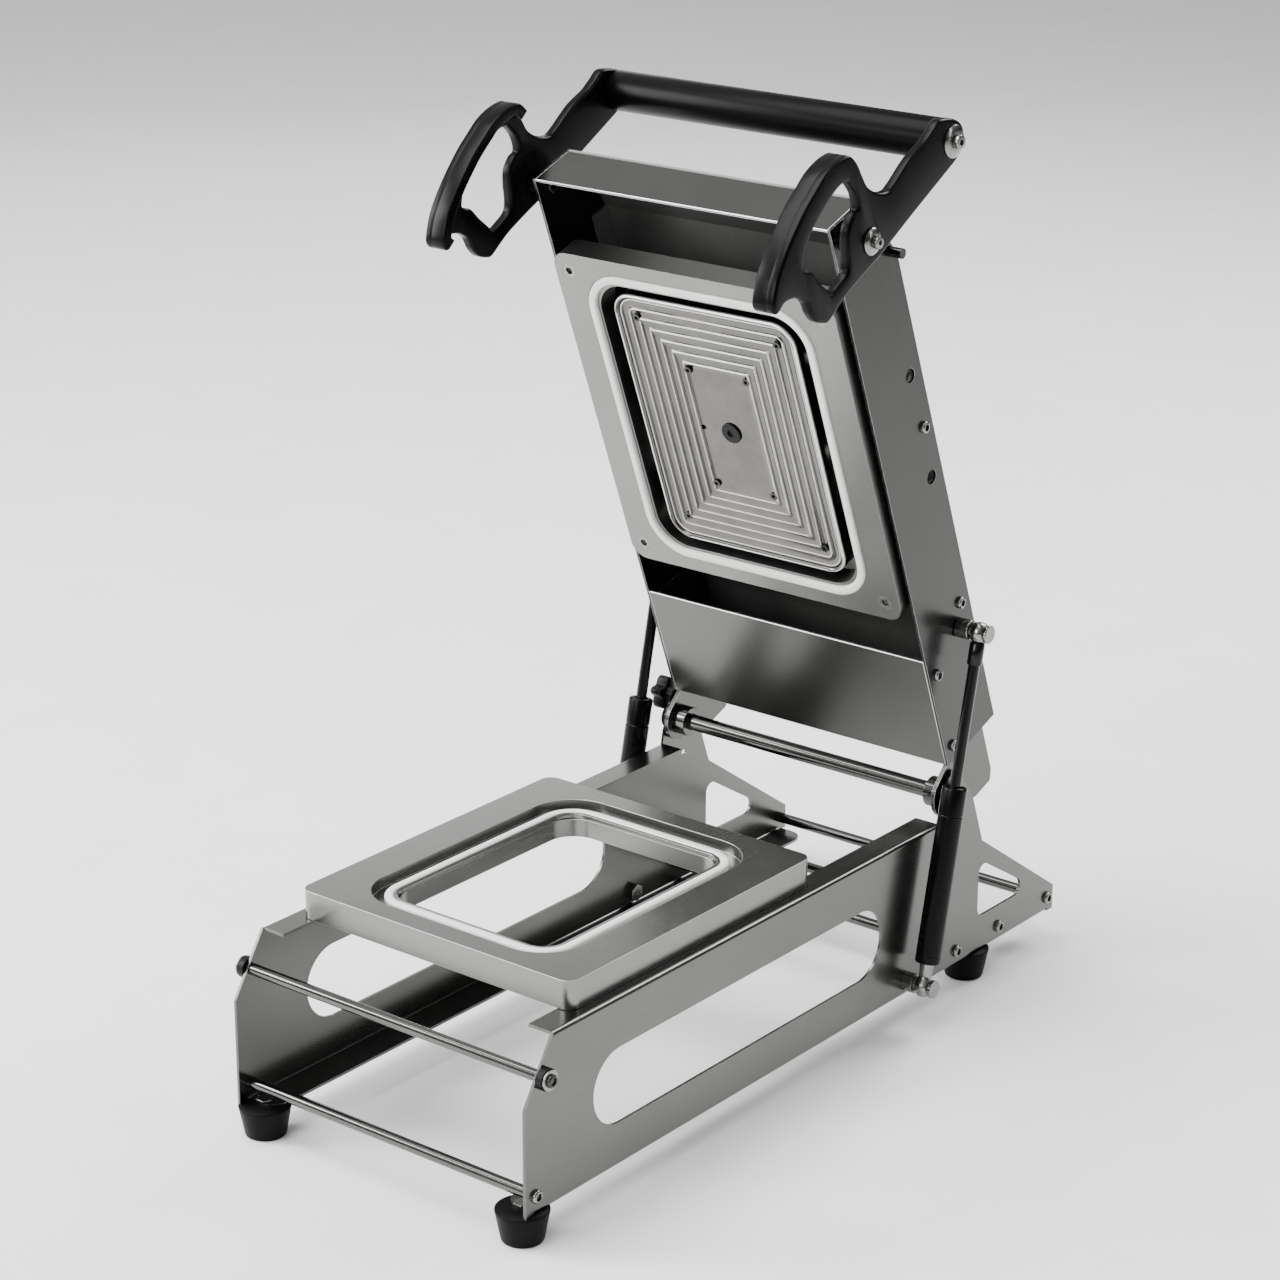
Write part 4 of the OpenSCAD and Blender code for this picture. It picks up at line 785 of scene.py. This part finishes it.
# a flat plate of the head with holes and rounded edges, filled by a curve object and turned to a mesh;
# low and high are its sides' distances from the machine's middle
def curveMesh(name, outlines, low, high, rounding):
    curve = bpy.data.curves.new(name, "CURVE")
    curve.dimensions = "2D"
    curve.fill_mode = "BOTH"
    curve.bevel_depth = rounding
    curve.bevel_resolution = handle["bevelSteps"]
    curve.offset = -rounding
    curve.extrude = (high - low) / 2 - rounding
    for points in outlines:
        spline = curve.splines.new("POLY")
        spline.points.add(len(points) - 1)
        flat = np.column_stack([points, np.zeros(len(points)), np.ones(len(points))])
        spline.points.foreach_set("co", flat.ravel())
        spline.use_cyclic_u = True
    holder = bpy.data.objects.new(name, curve)
    bpy.context.scene.collection.objects.link(holder)
    mesh = bpy.data.meshes.new_from_object(holder.evaluated_get(bpy.context.evaluated_depsgraph_get()))
    bpy.data.objects.remove(holder)
    upright = Matrix(((0, 0, 1, 0), (1, 0, 0, 0), (0, 1, 0, 0), (0, 0, 0, 1)))
    midPlane = Matrix.Translation(((low + high) / 2, 0, 0))
    mesh.transform(Matrix.Scale(mm, 4) @ headSpace @ midPlane @ upright)
    return mesh


def circlePoints(centre, radius, steps):
    turn = np.arange(steps) * 2 * np.pi / steps
    return np.column_stack([centre[0] + radius * np.cos(turn), centre[1] + radius * np.sin(turn)])


# outline points moved inward by a distance, square to the line through their neighbours
def inward(points, distance):
    along = np.roll(points, -1, axis=0) - np.roll(points, 1, axis=0)
    along /= np.linalg.norm(along, axis=1)[:, None]
    area = np.sum(points[:, 0] * np.roll(points[:, 1], -1) - points[:, 1] * np.roll(points[:, 0], -1))
    square = np.column_stack([-along[:, 1], along[:, 0]]) * np.sign(area)
    return points + square * distance


# the plate with its finger opening, and the hook's wider rim behind it
def addHandle(side, name):
    reach = handle["reach"]
    fine = handle["fine"]
    outer = smoothLoop(handleOutline, fine) * reach
    opening = smoothLoop(openingOutline, fine) * reach
    first, last = (index * fine for index in handle["rimSpan"])
    innerLast = last - handle["rimShort"] * fine
    rim = np.concatenate([
        outer[first:last],
        np.array(handle["rimInner"]) * reach,
        inward(outer, handle["rimHeight"])[first:innerLast][::-1],
    ])
    gripPlace = (handle["grip"][0], -handle["grip"][1])
    gripHole = circlePoints(gripPlace, handle["gripHole"], handle["holeSteps"])
    boltHole = circlePoints((0, 0), handle["boltHole"], handle["holeSteps"])
    inside = handle["outside"] - handle["plate"]
    rimOutside = inside + handle["rimOverlap"]
    place = np.array(handle["pivot"])
    flip = [place - points for points in (outer, opening, boltHole, gripHole, rim)]
    whole = bmesh.new()
    whole.from_mesh(curveMesh("plate", flip[:4], inside, handle["outside"], handle["round"]))
    whole.from_mesh(curveMesh("rim", flip[4:], handle["rimInside"], rimOutside, handle["rimRound"]))
    bmesh.ops.remove_doubles(whole, verts=whole.verts, dist=weldMm["handle"] * mm)
    if side < 0:
        bmesh.ops.scale(whole, vec=(-1, 1, 1), verts=whole.verts)
    mesh = bpy.data.meshes.new(name + "Handle")
    whole.to_mesh(mesh)
    whole.free()
    addPiece(name + "Handle", finishMesh(mesh, sharp=30), name + "_handle", "handleBlack")


addHandle(-1, "left")
addHandle(1, "right")

gripSpot = (handle["pivot"][0] - handle["grip"][0], handle["pivot"][1] + handle["grip"][1])
bolts = {  # radius, height outward from the handle's outer face and, on bolts, hexagon share
    "pivotWasher": [(2.6, 0.3), (9.0, 0.3), (9.0, 0.9), (8.4, 1.5), (6.9, 2.3), (5.2, 2.7), (2.6, 2.7)],
    "pivotBolt": [(2.4, -20, 0), (2.4, 2.7, 0), (3.6, 2.7, 0), (4.1, 3.0, 0), (4.2, 3.5, 0), (4.2, 6.0, 0),
                  (3.9, 6.5, 0), (3.3, 6.7, 0), (1.6, 6.7, 1), (1.5, 6.5, 1), (1.5, 5.2, 1)],
    "gripWasher": [(3.1, 0.0), (11.0, 0.0), (11.0, 0.7), (10.2, 1.3), (8.2, 2.0), (6.2, 2.4), (3.1, 2.4)],
    "gripBolt": [(2.9, -28, 0), (2.9, 2.4, 0), (4.2, 2.4, 0), (4.7, 2.7, 0), (4.8, 3.3, 0), (4.8, 5.7, 0),
                 (4.5, 6.2, 0), (3.8, 6.4, 0), (1.9, 6.4, 1), (1.8, 6.2, 1), (1.8, 4.6, 1)],
    "pivotNut": [(2.4, 0, 0), (4.3, 0, 1), (4.6, 0.3, 1), (4.6, 2.7, 1), (4.3, 3.0, 1), (2.4, 3.0, 0)],
}


# one shape on both sides of the machine, its heights running outward from the plane x = seat
def bothSides(y, z, seat, rings, loop, space=headSpace):
    parts = []
    for side in (-1, 1):
        parts.append((space @ alongSpace(Vector((side * seat, y, z)), (side, 0, 0)), rings, loop))
    return parts


buttonScrews = {  # name: node, space, head radius, head height, seat, shank, places as y and z
    "tieScrews": ("tie_bar_screws", baseSpace, 4.5, 2.8, 125, 14,
                  [(10, 13), (478.6, 11.2), (534, 11.2), (600, 11.2)]),
    "rollerScrews": ("roller_screws", baseSpace, 4.5, 2.2, 132.4, 20, [(16.5, 92.5)], "darkSteelAndSocketShade"),
    "headScrews": ("head_screws", headSpace, 4.2, 2.8, 122.6, 6,
                   [(-279, 57), (-131.6, 56), (-97.5, 15.4), (-33.8, 15.9)]),
}
buttonShape = {  # shares of the head's radius and height, and the hexagon share
    "shank": 0.45,
    "head": [(1, 0, 0), (1, 0.45, 0), (0.97, 0.7, 0), (0.88, 0.9, 0), (0.72, 1, 0), (0.56, 1, 1),
             (0.52, 0.92, 1), (0.52, 0.3, 1)],
    # the disc of painted shade in each socket
    "socket": [(0.2, 0.32, 1), (0.5, 0.32, 1), (0.5, 0.55, 1), (0.2, 0.5, 1)],
}


# domed heads with a hexagon socket, and a disc of painted shade as the floor of each socket
def addButtonScrews(name, node, space, radius, height, seat, shank, places, materialName="screwSteel"):
    head = [(radius * r, height * h, hexagon) for r, h, hexagon in buttonShape["head"]]
    head = [(radius * buttonShape["shank"], z, 0) for z in (-shank, 0)] + head
    socket = [(radius * r, height * h, hexagon) for r, h, hexagon in buttonShape["socket"]]
    heads, socketShades = [], []
    for y, z in places:
        heads += bothSides(y, z, seat, hexLathe(head), False, space)
        socketShades += bothSides(y, z, seat, hexLathe(socket), False, space)
    addPiece(name, ringMesh(name, heads), node, materialName)
    addPiece(name + "SocketShades", ringMesh(name + "SocketShades", socketShades), node, "darkSteelAndSocketShade")


for name, values in buttonScrews.items():
    addButtonScrews(name, *values)

fasteners = {  # node, place as y and z, seat
    "pivotWasher": ("handle_pivot_washers", handle["pivot"], handle["outside"]),
    "pivotBolt": ("handle_pivot_bolts", handle["pivot"], handle["outside"]),
    "gripWasher": ("grip_washers", gripSpot, handle["outside"]),
    "gripBolt": ("grip_bolts", gripSpot, handle["outside"]),
}
for name, (node, spot, seat) in fasteners.items():
    washer = name.endswith("Washer")
    rings = lathe(bolts[name]) if washer else hexLathe(bolts[name])
    parts = bothSides(*spot, seat, rings, washer)
    if name == "pivotBolt":
        parts += bothSides(*spot, handle["nutSeat"], hexLathe(bolts["pivotNut"]), True)
    addPiece(name + "s", ringMesh(name + "s", parts), node, "screwSteel")

gripTube = {
    "profile": [(3.2, -135.3), (13.2, -135.3), (13.8, -135.0), (14.0, -134.4), (14.0, 134.4), (13.8, 135.0),
                (13.2, 135.3), (3.2, 135.3)],
    "steps": 72,
}
gripSpace = headSpace @ alongSpace((0, *gripSpot), (1, 0, 0))
gripPart = (gripSpace, lathe(gripTube["profile"], gripTube["steps"]), True)
addPiece("gripTube", ringMesh("gripTube", [gripPart], sharp=50), "handle_grip", "gripBlack")
print("handles, bolts and grip done")


knob = {
    "spot": (60, -150, 67.3),  # in the head's space
    "steps": 144,
    "flutes": 24,
    "fluteDepth": 0.6,
    "gripRadius": 15,
    "gripFrom": (12, 6),  # flutes lie beyond this radius and above this height
    "profile": [(3.0, -8.0), (3.0, 0.3), (18.2, 0.3), (18.8, 0.6), (19.0, 1.2), (19.0, 4.0), (18.6, 4.9),
                (17.6, 5.3), (15.6, 5.5), (15.0, 6.2), (14.6, 14.0), (14.2, 15.3), (13.2, 16.1), (11.4, 16.3),
                (10.8, 15.9), (0.5, 15.7)],
    "lineAt": 8.2,
    "lineLength": 7.0,
    "lineLevels": [(1.2, 15.4), (1.2, 16.35), (0.9, 16.5)],  # width and height
    "lineRound": 2.2,  # width over corner radius
}


# flutes are pressed into the knob's grip by a cosine round its axis
def addKnob():
    rings = lathe(knob["profile"], knob["steps"])
    turn = np.arctan2(rings[0][:, 1], rings[0][:, 0])
    radii, heights = np.array(knob["profile"]).T
    grip = (radii > knob["gripFrom"][0]) & (heights > knob["gripFrom"][1])
    shrink = 1 - knob["fluteDepth"] / knob["gripRadius"] * (0.5 + 0.5 * np.cos(knob["flutes"] * turn))
    rings[grip, :, :2] *= shrink[None, :, None]
    space = headSpace @ Matrix.Translation(knob["spot"])
    knobMesh = ringMesh("heatKnob", [(space, rings, False)], sharp=40)
    addPiece("heatKnob", knobMesh, "heat_knob", "partBlack")
    line = []
    for width, z in knob["lineLevels"]:
        line.append(roundLoop(width, knob["lineLength"], width / knob["lineRound"], z, steps=4))
    pointer = (space @ Matrix.Translation((0, knob["lineAt"], 0)), np.stack(line), False)
    lineMesh = ringMesh("knobPointer", [pointer], sharp=40)
    addPiece("knobPointer", lineMesh, "heat_knob", "paleSilicone")


addKnob()

starKnob = {
    "spot": (-125, 470, 151.5),  # in the base's space
    "steps": 120,
    "lobes": 5,
    "radius": 10.6,
    "lobe": 2.2,  # how far the radius grows and shrinks
    "turn": math.radians(90),
    "hub": [(3.0, 0.1), (6.4, 0.1), (6.6, 0.5), (6.6, 6.6), (3.0, 6.6)],
    "profile": [(0.3, 6.0), (0.88, 6.0), (0.97, 6.5), (1.0, 7.4), (1.0, 14.0), (0.97, 15.6), (0.88, 16.6),
                (0.72, 17.0), (0.45, 16.4), (0.1, 16.4)],  # share of the radius, height
}


# a star grip: the radius grows and shrinks by a cosine, once for each lobe
def addStarKnob():
    rings = lathe(starKnob["profile"], starKnob["steps"])
    turn = np.arctan2(rings[0][:, 1], rings[0][:, 0])
    reach = starKnob["radius"] + starKnob["lobe"] * np.cos(starKnob["lobes"] * (turn - starKnob["turn"]))
    rings[:, :, :2] *= reach[None, :, None]
    space = baseSpace @ alongSpace(Vector(starKnob["spot"]), (-1, 0, 0))
    parts = [(space, rings, False), (space, lathe(starKnob["hub"]), False)]
    addPiece("starKnob", ringMesh("starKnob", parts, sharp=50), "hinge_block", "partBlack")


addStarKnob()


stageLook = {"dark": "f2f2f1", "light": "f6f6f5", "roughness": (0.6, 0.7), "grainMm": (3, 3, 3), "bump": 0.02}
materials["paleFloor"] = makeMaterial("paleFloor", stageLook)  # plain pale studio floor


def addFloor(half):
    mesh = bpy.data.meshes.new("studioFloor")
    corners = [(-half, -half, 0), (half, -half, 0), (half, half, 0), (-half, half, 0)]
    mesh.from_pydata(corners, [], [(0, 1, 2, 3)])
    mesh.materials.append(materials["paleFloor"])
    floor = bpy.data.objects.new("studioFloor", mesh)
    bpy.context.scene.collection.objects.link(floor)


addFloor(12)  # metres to each side
view = {  # the camera's place and axes, solved from the photo's straight edges
    "place": (1.35363, -1.73133, 1.07981),
    "right": (0.781564, 0.623820, 0.002489),
    "up": (-0.212264, 0.262182, 0.941384),
    "back": (0.586602, -0.736281, 0.337327),
    "focal": 3438.62,  # in pixels of the frame
    "frame": 1280,
    "sensor": 36,
}


def addCamera():
    data = bpy.data.cameras.new("photoCamera")
    data.sensor_width = view["sensor"]
    data.sensor_fit = "HORIZONTAL"
    data.lens = view["focal"] / view["frame"] * view["sensor"]
    data.clip_end = 50
    camera = bpy.data.objects.new("photoCamera", data)
    turn = Matrix((view["right"], view["up"], view["back"])).transposed()
    camera.matrix_world = Matrix.Translation(view["place"]) @ turn.to_4x4()
    bpy.context.scene.collection.objects.link(camera)
    bpy.context.scene.camera = camera


addCamera()


# a rectangular softbox at place, turned to aim, with its width and height in metres
def addLight(name, place, aim, size, power):
    data = bpy.data.lights.new(name, "AREA")
    data.shape = "RECTANGLE"
    data.size, data.size_y = size
    data.energy = power
    light = bpy.data.objects.new(name, data)
    light.location = place
    light.rotation_euler = (Vector(aim) - Vector(place)).to_track_quat("-Z", "Y").to_euler()
    bpy.context.scene.collection.objects.link(light)


middle = (0, 0, 0.3)
lights = {  # place, aim, width and height, watts
    "overheadBox": ((-0.6, -0.7, 2.6), (-0.2, -0.2, 0), (1.8, 1.8), 95),
    "leftBox": ((-2.6, -1.7, 1.5), middle, (1.4, 1.8), 150),
    "frontBox": ((-0.6, -3.2, 1.5), (-0.3, -0.6, 0), (2.0, 1.0), 70),
    "backBox": ((-2.3, 2.2, 1.1), middle, (1.3, 0.7), 7),
    "highBackBox": ((0.3, 2.1, 2.1), (0, 0, 0.1), (1.6, 1.2), 70),  # bright lines on the bends along Y
    "rightStrip": ((2.4, 1.2, 1.6), middle, (0.3, 1.8), 12),
}
for name, values in lights.items():
    addLight(name, *values)

room = {  # studio surroundings: strength by height, dimmed away from the left front
    "heights": [(0.5, 0.1), (0.57, 0.2), (0.64, 0.5), (0.74, 0.7), (1.0, 0.9)],
    "bright": (-0.8, -0.6, 0.0),
    "turned": (-0.5, 0.5),  # how far a ray turns towards it, from dim to lit
    "dim": 0.3,
    "lit": 1.3,
    "backdrop": 1.3,
}


# the surroundings' strength is a ramp over the ray's height times a share that grows towards the
# bright side; the camera itself sees an even pale backdrop
def addWorld(room):
    world = bpy.data.worlds.new("studioRoom")
    world.use_nodes = True
    tree = world.node_tree
    back = tree.nodes["Background"]
    coords = addNode(tree, "ShaderNodeTexCoord")
    split = addNode(tree, "ShaderNodeSeparateXYZ", links={"Vector": coords.outputs["Generated"]})
    height = addNode(
        tree,
        "ShaderNodeMapRange",
        {"From Min": -1, "From Max": 1, "To Min": 0, "To Max": 1},
        {"Value": split.outputs["Z"]},
    )
    ramp = addNode(tree, "ShaderNodeValToRGB", links={"Fac": height.outputs["Result"]})
    while len(ramp.color_ramp.elements) < len(room["heights"]):
        ramp.color_ramp.elements.new(0.5)
    for element, (position, strength) in zip(ramp.color_ramp.elements, room["heights"]):
        element.position = position
        element.color = (strength, strength, strength, 1)
    facing = addNode(
        tree,
        "ShaderNodeVectorMath",
        {1: room["bright"]},
        {0: coords.outputs["Generated"]},
        operation="DOT_PRODUCT",
    )
    away, towards = room["turned"]
    share = addNode(
        tree,
        "ShaderNodeMapRange",
        {"From Min": away, "From Max": towards, "To Min": room["dim"], "To Max": room["lit"]},
        {"Value": facing.outputs["Value"]},
        interpolation_type="SMOOTHSTEP",
    )
    product = addNode(
        tree,
        "ShaderNodeMath",
        links={0: ramp.outputs["Color"], 1: share.outputs["Result"]},
        operation="MULTIPLY",
    )
    seen = addNode(tree, "ShaderNodeLightPath")
    strength = addNode(
        tree,
        "ShaderNodeMix",
        {"B": room["backdrop"]},
        {"Factor": seen.outputs["Is Camera Ray"], "A": product.outputs["Value"]},
        data_type="FLOAT",
    )
    tree.links.new(strength.outputs["Result"], back.inputs["Strength"])
    back.inputs["Color"].default_value = linear("ffffff")
    bpy.context.scene.world = world


addWorld(room)
